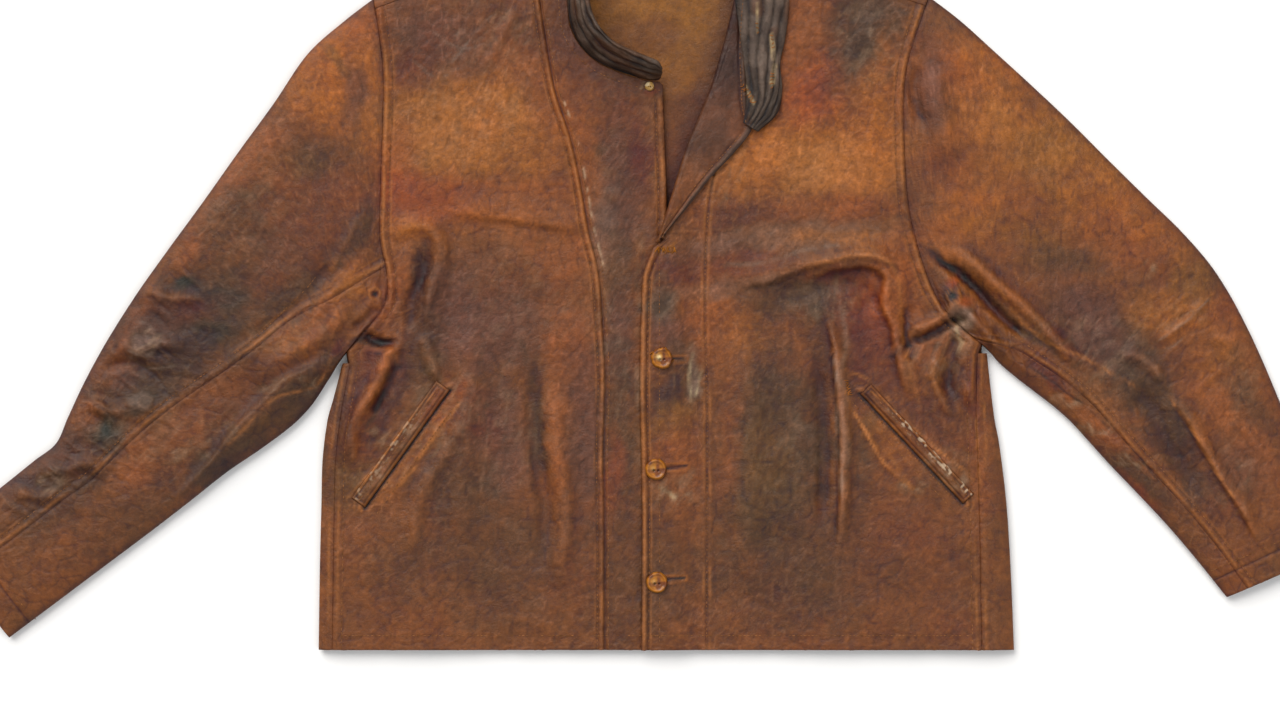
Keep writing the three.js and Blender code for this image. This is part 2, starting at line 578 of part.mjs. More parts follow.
function frontLeft() {
  const outer = outerEdge(moved(smoothLine(plan(SEAM_LEFT)), CUT_ROOM), armholeLeft, CUT_ROOM, SHOULDER_SHARE);
  const roll = smoothLine(LAPEL.map((row) => [row.rollX, row.rollY]));
  const neckPoint = [NECK_POINT_LEFT[0], NECK_POINT_LEFT[1] - SHOULDER_DROP];
  const inside = moved(roll, ROLL_INSET);
  const edge = joined([
    { line: smoothLine(plan(FRONT_EDGE_LEFT)), portion: BELOW_BREAK_LEFT },
    { line: inside, portion: ROLL_PORTION },
    { line: straight(inside(1), neckPoint), portion: 1 - BELOW_BREAK_LEFT - ROLL_PORTION },
  ]);
  const low = straight(edge(0), outer(0));
  const top = straight(edge(1), outer(1));
  const flat = patch(low, top, edge, outer, FRONT_ACROSS, FRONT_ALONG);
  const points = flat.map(([x, y]) => [x, y, leftTop(x, y)]);
  const panel = solidOf(wall(points, gridFaces(FRONT_ACROSS + 1, FRONT_ALONG + 1), HIDE));
  const cut = panel.intersect(upright(FRONT_AREA, 0));
  return piece("front_left", geometryOf(cut), COLOURS.body);
}

// The back lies flat, and comes round each side and over each shoulder to its seam with the front.
function back() {
  const under = SHOULDER_SHARE / 2;
  const right = outerEdge(moved(smoothLine(plan(SIDE_RIGHT)), EDGE_UNDER), armholeRight, -CUT_ROOM, under);
  const left = outerEdge(moved(smoothLine(plan(SIDE_LEFT)), -EDGE_UNDER), armholeLeft, CUT_ROOM, under);
  const neckRight = [NECK_POINT_RIGHT[0], NECK_POINT_RIGHT[1] - EDGE_UNDER];
  const neckLeft = [NECK_POINT_LEFT[0], NECK_POINT_LEFT[1] - EDGE_UNDER];
  const neck = (t) => {
    const p = straight(neckRight, neckLeft)(t);
    return [p[0], p[1] - NECK_BACK_DIP * (1 - (2 * t - 1) ** 4)];
  };
  const portion = SHOULDER_COLUMNS / BACK_ACROSS;
  const top = joined([
    { line: straight(right(1), neckRight), portion },
    { line: neck, portion: 1 - 2 * portion },
    { line: straight(neckLeft, left(1)), portion },
  ]);
  const flat = patch(straight(right(0), left(0)), top, right, left, BACK_ACROSS, BACK_ALONG);
  const points = flat.map(([x, y]) => [x, y, 0]);
  const columns = BACK_ACROSS + 1;
  const faces = gridFaces(columns, BACK_ALONG + 1, true);

  // Adds the strip round a folded edge. at holds the flat points that it starts from, folds and
  // seams the places of its outermost line and of its end beside each of them.
  const addRound = (at, folds, seams, turned) => {
    let before = at;
    for (let k = 1; k <= ROUND_STEPS; k++) {
      const now = at.map((start, n) => {
        const rise = Math.min(1, k / 2);
        const over = Math.max(0, (k - 2) / (ROUND_STEPS - 2)) ** 1.6;
        const [x, y] = points[start];
        const out = Math.sin((rise * Math.PI) / 2);
        const px = over > 0 ? mix(folds[n][0], seams[n][0], over) : mix(x, folds[n][0], out);
        const py = over > 0 ? mix(folds[n][1], seams[n][1], over) : mix(y, folds[n][1], out);
        const z = over > 0 ? bodyTop(px, py) : EDGE_HEIGHT * (1 - Math.cos((rise * Math.PI) / 2));
        return points.push([px, py, z]) - 1;
      });
      for (let n = 0; n < at.length - 1; n++) {
        faces.push(...square(before[n], before[n + 1], now[n + 1], now[n], turned));
      }
      before = now;
    }
  };
  const sideStrip = (column, side, seam, inward) => {
    const rows = Math.round(SIDE_PORTION * BACK_ALONG);
    const at = Array.from({ length: rows + 1 }, (_, j) => j * columns + column);
    const folds = at.map((n) => [lineX(side, points[n][1]), points[n][1]]);
    const seams = at.map((n) => [lineX(seam, points[n][1]) - inward * CUT_ROOM, points[n][1]]);
    addRound(at, folds, seams, inward < 0);
  };
  const shoulderStrip = (firstColumn, tip, seamTip, neckPoint, turned) => {
    const at = Array.from({ length: SHOULDER_COLUMNS + 1 }, (_, i) => BACK_ALONG * columns + firstColumn + i);
    const seamNeck = [neckPoint[0], neckPoint[1] - SHOULDER_DROP - CUT_ROOM];
    const ends = turned
      ? [straight(neckPoint, tip), straight(seamNeck, seamTip)]
      : [straight(tip, neckPoint), straight(seamTip, seamNeck)];
    const [folds, seams] = ends.map((line) => shares(SHOULDER_COLUMNS).map(line));
    addRound(at, folds, seams, true);
  };
  sideStrip(0, EDGE.sideRight, EDGE.seamRight, -1);
  sideStrip(BACK_ACROSS, EDGE.sideLeft, EDGE.seamLeft, 1);
  const tipOf = (armhole, share, inward, up) => {
    const p = armhole(share);
    return [p[0] - inward * CUT_ROOM, p[1] + up];
  };
  shoulderStrip(
    0,
    tipOf(armholeRight, 0, 1, 0),
    tipOf(armholeRight, SHOULDER_SHARE, 1, -CUT_ROOM),
    NECK_POINT_RIGHT,
    false,
  );
  shoulderStrip(
    BACK_ACROSS - SHOULDER_COLUMNS,
    tipOf(armholeLeft, 0, -1, 0),
    tipOf(armholeLeft, SHOULDER_SHARE, -1, -CUT_ROOM),
    NECK_POINT_LEFT,
    true,
  );
  const whole = solidOf(wall(points, faces, HIDE)).intersect(upright(BODY_AREA.offset(-SEAM_GAP / 2), -1));
  const cut = whole.subtract(upright(FRONT_AREA.offset(SEAM_GAP), HIDE + 0.5));
  return piece("back", geometryOf(cut), COLOURS.body);
}

// The lapel: its section starts at the left front's edge, goes round the roll and lies back over
// the front, as far as its free edge and its seam with the collar.
function lapel() {
  const line = smoothLine(LAPEL.map((row) => [row.rollX, row.rollY, row.outerX, row.outerY]));
  const points = [];
  for (const t of shares(LAPEL_ALONG)) {
    const [rollX, rollY, outerX, outerY] = line(t);
    const at = (d) => [rollX + d, mix(rollY, outerY, d / (outerX - rollX))];
    const width = outerX - rollX;
    for (const turn of shares(LAPEL_ROUND_STEPS)) {
      const angle = (turn - 0.5) * Math.PI;
      const [x, y] = at(ROLL_RADIUS * (1 - Math.cos(angle)));
      const under = leftTop(rollX + ROLL_RADIUS, rollY) - LAPEL_THICK;
      points.push([x, y, under + ROLL_RADIUS * (1 + Math.sin(angle))]);
    }
    const lifted = 2 * ROLL_RADIUS - 2 * LAPEL_THICK - FLAP_GAP;
    for (const share of shares(LAPEL_FLAT_STEPS).slice(1)) {
      const [x, y] = at(mix(ROLL_RADIUS, width, share));
      const settled = lifted * (1 - smooth(share));
      points.push([x, y, leftTop(x, y) + LAPEL_THICK + FLAP_GAP + settled]);
    }
  }
  const columns = LAPEL_ROUND_STEPS + 1 + LAPEL_FLAT_STEPS;
  return piece("lapel_left", wall(points, gridFaces(columns, LAPEL_ALONG + 1), LAPEL_THICK), COLOURS.facing);
}

// Sleeves
// One sleeve as two pieces, the upper and the under one. A section runs from the outer edge over the
// top to the inner edge, and back underneath.
function sleeve(label, rows, armhole, turned) {
  const table = rows.map((r) => [r.outerX, r.outerY, r.innerX, r.innerY, r.seam]);
  const length = (a, b) => Math.hypot(b[0] - a[0] + b[2] - a[2], b[1] - a[1] + b[3] - a[3]) / 2;
  const along = smoothLine(table, length);
  const start = straight(table[0].slice(0, 2), table[0].slice(2, 4));

  const section = (s) => {
    const [outerX, outerY, innerX, innerY, seam] = along(s);
    const width = Math.hypot(innerX - outerX, innerY - outerY);
    const chord = straight([outerX, outerY], [innerX, innerY]);
    // The first section follows the armhole, and later ones become straight.
    const at = (share) => {
      const bend = armhole(share);
      const from = start(share);
      const follow = 1 - smooth(s / 0.3);
      const reach = s === 0 ? (turned ? CUT_ROOM : -CUT_ROOM) : 0;
      return chord(share).map((v, k) => v + (bend[k] - from[k]) * follow + (k === 0 ? reach : 0));
    };
    const top = (share) => {
      const [x, y] = at(share);
      const near = Math.min(share, 1 - share) * width;
      const calm = smooth(near / EDGE_OVER);
      const round = arch((share * width) / EDGE_OVER) * arch(((1 - share) * width) / EDGE_OVER);
      const own = EDGE_HEIGHT + (SLEEVE_LOFT - EDGE_HEIGHT) * round + foldHeight(x, y) * calm;
      const z = mix(own, bodyTop(x, y), smooth(1 - s / 0.1) * calm);
      return [x, y, Math.max(z, mix(EDGE_HEIGHT, LEAST_LOFT, calm))];
    };
    const under = (share) => {
      const near = Math.min(share, 1 - share) * width;
      return [...at(share), EDGE_HEIGHT * (1 - arch(near / EDGE_UNDER))];
    };
    // Near the armpit the sections lean along the seam, so they stay further apart there.
    const gap = (SEAM_GAP * mix(3, 0.6, smooth(s / 0.4))) / width;
    return { top, under, seam, gap, tuck: EDGE_UNDER / width };
  };
  const upperRow = ({ top, under, seam, gap, tuck }) => [
    ...[UNDER_SEAM - gap, mix(tuck, UNDER_SEAM, 0.5), tuck, tuck * 0.35].map(under),
    ...shares(SLEEVE_OVER_STEPS).map((t) => top(((seam - gap) * (1 - Math.cos(Math.PI * t))) / 2)),
  ];
  const underRow = ({ top, under, seam, gap, tuck }) => [
    ...shares(SLEEVE_INNER_STEPS).map((t) => top(mix(seam + gap, 1, Math.sin((Math.PI / 2) * t)))),
    under(1 - tuck * 0.35),
    ...shares(SLEEVE_UNDER_STEPS).map((t) => under(mix(1 - tuck, UNDER_SEAM + gap, t))),
  ];
  const make = (name, row) => {
    const lines = shares(SLEEVE_ALONG).map((s) => row(section(s)));
    const faces = gridFaces(lines[0].length, lines.length, turned);
    const whole = solidOf(wall(lines.flat(), faces, HIDE));
    const cut = whole.subtract(upright(BODY_AREA.offset(SEAM_GAP / 2), -1));
    return piece(name, geometryOf(cut), COLOURS.sleeve);
  };
  return [make(`sleeve_upper_${label}`, upperRow), make(`sleeve_under_${label}`, underRow)];
}

// Collar
function collar() {
  const table = COLLAR.map((r) => [r.baseX, r.baseY, r.baseZ, r.midX, r.midY, r.midZ, r.edgeX, r.edgeY, r.edgeZ]);
  const line = smoothLine(table, (a, b) => Math.hypot(b[3] - a[3], b[4] - a[4], b[5] - a[5]));
  const points = [];
  for (const t of shares(COLLAR_ALONG)) {
    const row = line(t);
    for (const v of shares(COLLAR_ACROSS)) {
      const [atBase, atMid, atEdge] = [(1 - v) * (1 - 2 * v), 4 * v * (1 - v), v * (2 * v - 1)];
      points.push([0, 1, 2].map((k) => atBase * row[k] + atMid * row[3 + k] + atEdge * row[6 + k]));
    }
  }
  const faces = gridFaces(COLLAR_ACROSS + 1, COLLAR_ALONG + 1, false);
  return piece("collar", wall(points, faces, COLLAR_THICK), COLOURS.collar);
}

// Pockets and fastenings
// A welt lies on its front: its outer face is the front's surface moved up.
function welt({ name, topX, topY, lowX, lowY, out, width }) {
  const long = Math.hypot(lowX - topX, lowY - topY);
  const side = [((lowY - topY) / long) * -out, ((lowX - topX) / long) * out];
  const top = out > 0 ? leftTop : bodyTop;
  const points = [];
  for (const t of shares(WELT_ALONG)) {
    for (const u of shares(WELT_ACROSS)) {
      const x = mix(topX, lowX, t) + side[0] * width * u;
      const y = mix(topY, lowY, t) + side[1] * width * u;
      points.push([x, y, top(x, y) + SEAM_GAP * 2 + WELT_THICK]);
    }
  }
  const faces = gridFaces(WELT_ACROSS + 1, WELT_ALONG + 1, out > 0);
  return piece(name, wall(points, faces, WELT_THICK), COLOURS.body);
}

const disc = (radius, thick, dish) =>
  new THREE.LatheGeometry(
    [
      new THREE.Vector2(0, 0),
      new THREE.Vector2(radius * 0.86, 0),
      new THREE.Vector2(radius, thick * 0.35),
      new THREE.Vector2(radius * 0.96, thick * 0.85),
      new THREE.Vector2(radius * 0.84, thick),
      new THREE.Vector2(radius * 0.62, thick - dish),
      new THREE.Vector2(0, thick - dish),
    ],
    28,
  ).rotateX(Math.PI / 2);

// Puts a disc on a surface, high enough to clear it all round.
function onSurface(geometry, x, y, radius, top) {
  const around = shares(12).map((t) => [
    x + radius * Math.cos(2 * Math.PI * t),
    y + radius * Math.sin(2 * Math.PI * t),
  ]);
  const height = Math.max(top(x, y), ...around.map((p) => top(p[0], p[1])));
  return geometry.translate(x, y, height + SEAM_GAP * 2);
}

function button({ name, x, y }) {
  const geometry = disc(BUTTON_RADIUS, BUTTON_THICK, 0.7);
  return piece(name, onSurface(geometry, x, y, BUTTON_RADIUS, leftTop), COLOURS.button);
}

// The stud sits on the right front, just below the collar's seam.
function stud() {
  const geometry = disc(STUD_RADIUS, 2.2, 0.3);
  return piece("collar_stud", onSurface(geometry, STUD.x, STUD.y, STUD_RADIUS, bodyTop), COLOURS.stud);
}

const jacket = new THREE.Group();
jacket.name = "leather_jacket";
jacket.add(
  back(),
  frontRight(),
  frontLeft(),
  lapel(),
  ...sleeve("right", SLEEVE_RIGHT, armholeRight, true),
  ...sleeve("left", SLEEVE_LEFT, armholeLeft, false),
  collar(),
  ...WELTS.map(welt),
  ...BUTTONS.map(button),
  stud(),
);
export default jacket;
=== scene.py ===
import math
import bpy
import bmesh
import numpy as np
from mathutils.bvhtree import BVHTree
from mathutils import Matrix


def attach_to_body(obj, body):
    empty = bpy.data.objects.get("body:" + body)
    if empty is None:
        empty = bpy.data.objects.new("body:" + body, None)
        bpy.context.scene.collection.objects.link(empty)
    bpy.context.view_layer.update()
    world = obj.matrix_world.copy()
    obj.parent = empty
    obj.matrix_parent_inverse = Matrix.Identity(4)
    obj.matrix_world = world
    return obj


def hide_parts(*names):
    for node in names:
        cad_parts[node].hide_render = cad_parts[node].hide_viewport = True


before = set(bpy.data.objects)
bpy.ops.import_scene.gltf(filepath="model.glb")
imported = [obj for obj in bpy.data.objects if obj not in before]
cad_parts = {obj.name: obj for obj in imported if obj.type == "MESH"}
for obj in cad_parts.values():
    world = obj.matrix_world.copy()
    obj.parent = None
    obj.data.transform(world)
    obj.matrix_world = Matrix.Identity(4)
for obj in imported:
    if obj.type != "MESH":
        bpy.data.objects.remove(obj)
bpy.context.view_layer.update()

# Looks of the worn leather jacket, laid flat on its back. Lengths in the tables are millimetres in
# the part's frame: +X to the wearer's left, +Y to the collar, +Z up, zero under the middle of the chest.
MM = 0.001

# Driving sizes
HIDE = 2.0
LAPEL_THICK = 2.6
COLLAR_THICK = 2.8
EDGE_HEIGHT = 5.0  # of a panel's folded edge
EDGE_UNDER = 6.0  # how far the leather curves in below its edge
EDGE_OVER = 22.0  # and above it
SLEEVE_EDGE_OVER = 34.0
HEM_Y = -261.0
BODY_LOFT = 8.2
ARMHOLE_LOFT = 9.5
SLEEVE_LOFT = 12.5
CUFF_DROP = 2.5
LEAST_LOFT = 4.9
OVERLAP = 24.0  # of the left front over the right one
OVERLAP_LIFT = 3.4
OVERLAP_TOP = 150.0
OVERLAP_FADE = 60.0
HIDE_BEND = 3.0  # how far past an edge the leather above it stays up
ROLL_RADIUS = 3.8
ROLL_INSET = 5.5
FLAP_GAP = 0.5
WELT_THICK = 1.4
BUTTON_RADIUS = 9.5
BUTTON_THICK = 3.2
STUD_RADIUS = 4.2
STUD_THICK = 2.0
UNDER_SEAM = 0.16  # share of the sleeve's breadth at which its hidden seam lies
SLEEVE_LENGTH = 630.0
SHOULDER_RISE = 0.07  # shares of the sleeve over which its loft rises and falls
CUFF_FALL = 0.08
CUFF_HEM = 28.0
SHOULDER_DROP = 10.0
NECK_BACK_DIP = 18.0
COLLAR_LENGTH = 500.0
COLLAR_HEIGHT = 38.0
SIDE_PORTION = 0.4  # share of a panel's outer edge below the armpit
SHOULDER_SHARE = 0.028  # where the shoulder seam meets the armhole
ARMPIT_SHARE = 0.985
STEP = 1.75  # spacing of points on the leather
PHOTO_PIXEL = 0.9  # size of a photo pixel on the jacket
PHOTO_SIZE = (1280, 720)

# Seams: from a seam to the ridge beside it and to its row of stitches
RIDGE = 3.6
STITCH_ROW = 8.2
SLEEVE_ROW = 7.8
RIDGE_BREADTH = 2.2
GROOVE_BREADTH = 1.4
ROW_BREADTH = 1.1
NO_ROW = 999.0  # a row so far off that it doesn't show
FAR_OFF = 99.0  # a distance from a seam at which nothing of it shows
RIDGE_OFF = 40.0  # a distance at which neither its ridge nor its row shows


def spot(px, py):
    """A place in the part's frame from its pixel in the photograph."""
    return (PHOTO_PIXEL * (px - PHOTO_SIZE[0] / 2), PHOTO_PIXEL * (PHOTO_SIZE[1] / 2 - py))


# Outlines, from the hem up or from the shoulder down
SIDE_RIGHT = [
    (-289.5, HEM_Y), (-288.5, -190), (-287, -128), (-286, -90), (-281.5, -54), (-276, -34), (-268, -3),
]
SIDE_LEFT = [(337, HEM_Y), (334, -190), (330, -128), (323.5, -75), (319.5, -54), (315, -18), (312.5, 6)]
SEAM_RIGHT = [(-277, HEM_Y), (-275, -128), (-274, -90), (-270, -54), (-261, -3)]
SEAM_LEFT = [(307.5, HEM_Y), (305, -128), (303.5, -75), (302.5, -43), (304, 6)]
ARMHOLE_RIGHT = [
    (-240, 325.5), (-235.5, 298), (-231.3, 262), (-231.3, 225), (-233.5, 160),
    (-234, 108), (-228, 77), (-229, 52), (-246, 28), (-268.5, 4.5),
]
ARMHOLE_LEFT = [
    (260, 327.5), (250, 298), (240, 262), (237.5, 215), (241, 146),
    (248.5, 108), (261, 70), (275, 44), (293, 27), (313, 13),
]
NECK_POINT_RIGHT = (-69.3, 387.5)
NECK_POINT_LEFT = (97.2, 385)
FRONT_EDGE_RIGHT = [(25.2, HEM_Y), (25.2, -60), (24.3, 143), (20.7, 247.5)]
NECK_RIGHT = [
    (19.8, 250.2), (2, 252.5), (-30.6, 263.7), (-48.6, 276.3), (-62.1, 297), (-65.7, 324), (-69.3, 377.5),
]
FRONT_EDGE_LEFT = [(0.9, HEM_Y), (1.4, -128.7), (-0.5, -20), (1.4, 63), (3.2, 80), (12, 101)]
FACING_SEAM_RIGHT = [
    (-31.5, HEM_Y), (-31.5, -128.7), (-32.4, -81.9), (-30.6, -21.6), (-32.4, 22.5), (-35.1, 65.7),
    (-37.8, 85.5), (-45.9, 117), (-53.1, 160.2), (-63, 203.4), (-75.6, 241.2), (-86, 300), (-96, 367),
]
FACING_LINE_LEFT = [
    (60, HEM_Y), (60.3, -128.7), (60.3, -29.7), (58.5, 39.6), (59.4, 103.5), (66, 165),
    (88, 235), (118, 310), (128, 363),
]
# The lapel from its lower end up: the roll, then the free edge and collar seam
LAPEL = [
    (14.5, 106, 25.5, 116.5), (22, 128, 41, 135), (31, 157, 62, 162), (43.2, 196, 87, 189),
    (52, 216, 101, 209), (58, 231, 98, 229), (65, 250, 97, 249), (72.9, 277, 96, 276),
    (80, 304, 97, 303), (85, 327, 99, 326),
]
# Sleeve sections: outer edge, inner edge and the share of the front seam across
SLEEVE_RIGHT = [
    (-240, 325.5, -268.5, 4.5, 0.72), (-265.5, 306, -270.5, 0.5, 0.715), (-298.8, 276.3, -274, -6.5, 0.71),
    (-330, 231, -278, -14, 0.7), (-362, 187, -282.5, -21, 0.68), (-395, 140.5, -288.5, -30.5, 0.655),
    (-425, 99.5, -297.5, -43, 0.625), (-453, 60, -314, -59.5, 0.58), (-480, 17.5, -342, -80.5, 0.52),
    (-500, -19, -372, -101, 0.47), (-515, -51, -405, -127, 0.425), (-526, -75, -440, -154, 0.4),
    (-546, -91, -478, -182.5, 0.39), (-576, -115, -508, -205, 0.39), (-606, -137, -538, -227.5, 0.39),
    (-637, -159, -568, -250, 0.39),
]
SLEEVE_LEFT = [
    (260, 327.5, 313, 13, 0.94), (288, 306, 315, 9, 0.935), (318, 279, 317.5, 5, 0.93),
    (352, 248, 320.5, 0.5, 0.92), (387, 215, 325.5, -4.5, 0.91), (422, 180, 333, -11, 0.9),
    (456, 146.5, 343.5, -19.5, 0.89), (486, 117.5, 358, -30.5, 0.88), (512, 88, 374, -43, 0.875),
    (530, 61, 388.5, -56, 0.87), (546, 31, 404, -73, 0.865), (561, -1, 423, -94, 0.86),
    (577, -39, 447, -119, 0.85), (596, -82, 476, -150, 0.84), (615, -126, 504, -183, 0.83),
    (633, -168, 528.5, -213.6, 0.83),
]
# Collar stations: seam, crease and free edge of its outer face
COLLAR = [
    (19.5, 250.5, 8.9, 19.3, 257, 24, 19, 264, 35), (2, 253.2, 8.9, 3, 261, 25, 4, 270, 37),
    (-30.6, 264.5, 8.9, -27, 273, 25, -23, 282, 38), (-48.6, 277, 8.9, -42, 285, 25, -35, 293, 38),
    (-61.5, 298, 8.9, -53, 303, 25, -44, 309, 37), (-65.5, 324, 8.9, -57, 328, 24, -48.6, 332, 36),
    (-65, 358, 8.7, -60, 370, 21, -55, 381, 31), (-45, 370, 4, -45, 387, 8, -46, 402, 15),
    (14, 363, 2.5, 14, 382, 2.5, 14, 399, 4.5), (70, 369, 4, 74, 386, 7, 79, 400, 10),
    (87, 356, 10.8, 103, 369, 15.6, 118, 379, 11.1), (86, 324, 13.6, 112, 327, 16.6, 132, 327, 10.4),
    (90.5, 290, 13.6, 112, 291, 15.6, 129.6, 291, 10.4), (94, 266, 13.4, 111.6, 267, 15.1, 124.5, 267, 10.4),
    (96, 243, 13.2, 115, 243, 14.6, 126, 242, 10.4), (95, 226, 13, 110, 224, 14.1, 122, 222, 10.4),
    (93.5, 213, 12.9, 99, 209, 13.6, 105, 206, 11.3),
]

# Creases: half breadth and height in millimetres, kind, and their line in photo pixels. A ridge is
# soft on both sides, and with a height below zero it is a trough. A step is steep on its right side.
CREASES = [
    ("right armpit arc", 8, 3.2, "ridge",
     [(386, 240), (408, 225), (432, 229), (441, 250), (437, 275), (430, 300), (436, 334)]),
    ("right armpit hollow", 7, -3.2, "ridge", [(420, 243), (422, 270), (412, 300), (414, 335)]),
    ("right side ridge", 9, 6.5, "ridge",
     [(398, 326), (392, 352), (378, 384), (360, 414), (350, 446), (347, 476)]),
    ("right side groove", 4.5, -4.0, "ridge", [(404, 345), (398, 365), (384, 392), (370, 418)]),
    ("right cavity", 4, -5.0, "ridge", [(362, 334), (376, 341), (392, 343), (398, 336)]),
    ("right side pleat", 6, 3.0, "ridge", [(424, 330), (432, 362), (436, 384)]),
    ("right chest fold", 9, 2.4, "step", [(445, 210), (510, 217), (588, 231)]),
    ("right belly ridge", 13, 2.6, "ridge", [(462, 300), (470, 380), (462, 470), (468, 560)]),
    ("right belly trough", 8, -2.8, "ridge", [(530, 360), (532, 430), (545, 500), (540, 580)]),
    ("right belly light", 8, 2.2, "ridge", [(552, 380), (556, 440), (566, 520), (560, 600)]),
    ("right pocket fold", 8, 2.6, "ridge", [(470, 395), (452, 440), (420, 500), (408, 560)]),
    ("right shoulder crease", 4, 1.2, "ridge", [(520, 4), (500, 40), (478, 72)]),
    ("left chest arc", 10, 3.6, "step",
     [(722, 279), (762, 281), (803, 266), (850, 255), (884, 258), (902, 269), (906, 288)]),
    ("left chest arc two", 8, 4.8, "step",
     [(795, 280), (836, 267), (872, 266), (888, 278), (885, 302), (893, 330), (902, 368), (919, 410)]),
    ("left chest hollow", 9, -3.0, "ridge",
     [(760, 300), (800, 292), (845, 284), (868, 296), (872, 330)]),
    ("left drop trough", 5, -3.5, "ridge", [(908, 300), (906, 338), (914, 366)]),
    ("left vertical crease", 4.5, 4.4, "step",
     [(826, 300), (836, 367), (840, 410), (842, 495), (838, 560)]),
    ("left vertical trough", 7, -3.4, "ridge", [(814, 350), (822, 400), (824, 470), (822, 540)]),
    ("left belly ridge", 12, 2.2, "ridge", [(742, 340), (752, 420), (748, 520), (752, 600)]),
    ("left armpit pleat", 4.5, -3.4, "ridge", [(903, 346), (926, 337), (950, 323), (972, 317)]),
    ("left armpit ledge", 5, 3.6, "ridge", [(905, 334), (928, 325), (950, 311), (964, 300)]),
    ("left stain hollow", 6, -3.6, "ridge", [(955, 326), (950, 362), (948, 404)]),
    ("left stain lip", 4, 2.6, "ridge", [(936, 352), (934, 380), (944, 404), (950, 420)]),
    ("left side lip", 5, 3.0, "ridge", [(968, 332), (972, 372), (970, 410)]),
    ("right sleeve facet", 11, 3.2, "step",
     [(376, 198), (346, 246), (316, 296), (262, 340), (196, 384)]),
    ("right sleeve hollow", 9, -3.0, "ridge", [(366, 226), (334, 270), (296, 314), (232, 352)]),
    ("right sleeve lower", 11, 4.2, "step",
     [(339, 343), (318, 366), (286, 382), (266, 400), (232, 438), (200, 478), (160, 516)]),
    ("right pocket row", 2, 0.9, "ridge", [(429, 391), (404, 428), (379, 463), (345, 500)]),
    ("right pocket lower row", 2, 0.9, "ridge", [(456, 401), (422, 450), (390, 494)]),
    ("left pocket row", 2, 0.9, "ridge", [(852, 408), (869, 438), (887, 466), (919, 494)]),
    ("left pocket puff", 7, 1.8, "ridge", [(880, 400), (910, 424), (944, 458), (964, 484)]),
    ("right sleeve puff", 10, 4.0, "ridge", [(352, 300), (330, 330), (296, 352), (250, 384)]),
    ("right sleeve nick", 4, -3.0, "ridge", [(378, 306), (366, 320), (352, 330)]),
    ("elbow right one", 6, 3.0, "ridge", [(128, 300), (150, 292), (176, 300), (204, 296)]),
    ("elbow right two", 6, 3.2, "ridge", [(112, 340), (140, 350), (166, 344), (190, 352)]),
    ("elbow right three", 5, -2.6, "ridge", [(96, 372), (128, 362), (150, 372), (170, 392)]),
    ("elbow right four", 6, 2.8, "ridge", [(84, 398), (112, 410), (138, 404), (160, 416)]),
    ("wrist right one", 6, 3.0, "ridge", [(40, 458), (66, 470), (88, 462), (112, 476)]),
    ("wrist right two", 5, 2.4, "ridge", [(14, 490), (44, 498), (62, 488)]),
    ("left sleeve valley", 5, -5.0, "ridge",
     [(922, 246), (940, 262), (960, 275), (982, 296), (1002, 318), (1034, 342)]),
    ("left sleeve lip", 6, 3.6, "ridge",
     [(938, 238), (966, 258), (996, 284), (1034, 316), (1070, 356), (1108, 364)]),
    ("left under ridge", 6, 4.4, "ridge",
     [(946, 284), (966, 312), (984, 334), (1012, 362), (1046, 388)]),
    ("left sleeve crease", 5, 3.6, "step",
     [(1166, 390), (1184, 414), (1200, 443), (1234, 500), (1262, 548)]),
    ("left sleeve dark trough", 12, -2.8, "ridge",
     [(1130, 378), (1150, 414), (1176, 456), (1204, 500)]),
    ("left sleeve lines", 4, 1.8, "ridge", [(1152, 344), (1184, 322), (1212, 294)]),
    ("left elbow fold", 5, 2.4, "ridge", [(1118, 352), (1146, 362), (1162, 384)]),
    ("left elbow outer", 7, 2.4, "ridge", [(1262, 330), (1236, 338), (1206, 336)]),
    ("left cap fold", 6, -2.4, "ridge", [(918, 60), (916, 96), (924, 128)]),
    ("left cap puff", 10, 2.4, "ridge", [(934, 60), (938, 110), (948, 160)]),
]
# Wrinkled areas: centre and half size in photo pixels, direction of the wrinkles in degrees, their
# spacing and height in millimetres
WRINKLES = [
    (150, 330, 75, 75, -35, 13, 3.0),
    (90, 430, 70, 60, -30, 12, 3.0),
    (40, 490, 60, 40, -35, 10, 2.2),
    (200, 420, 90, 50, 40, 14, 1.6),
    (350, 300, 50, 60, 55, 9, 1.8),
    (410, 300, 50, 70, 80, 10, 2.0),
    (370, 430, 50, 70, 65, 10, 1.6),
    (500, 60, 110, 60, 60, 12, 1.0),
    (560, 420, 100, 120, 80, 16, 1.3),
    (760, 430, 90, 110, 85, 15, 1.3),
    (900, 300, 60, 70, -60, 10, 1.8),
    (940, 380, 50, 80, -75, 9, 2.2),
    (860, 60, 80, 60, -50, 11, 1.2),
    (1010, 340, 80, 40, -42, 10, 1.6),
    (1120, 420, 80, 60, -50, 11, 1.8),
    (1200, 330, 80, 70, 40, 15, 1.8),
    (1080, 190, 110, 90, 10, 20, 1.0),
    (680, 340, 40, 150, 85, 9, 1.2),
    (250, 150, 90, 110, 55, 20, 1.0),
    (1230, 450, 70, 70, -55, 14, 1.6),
]

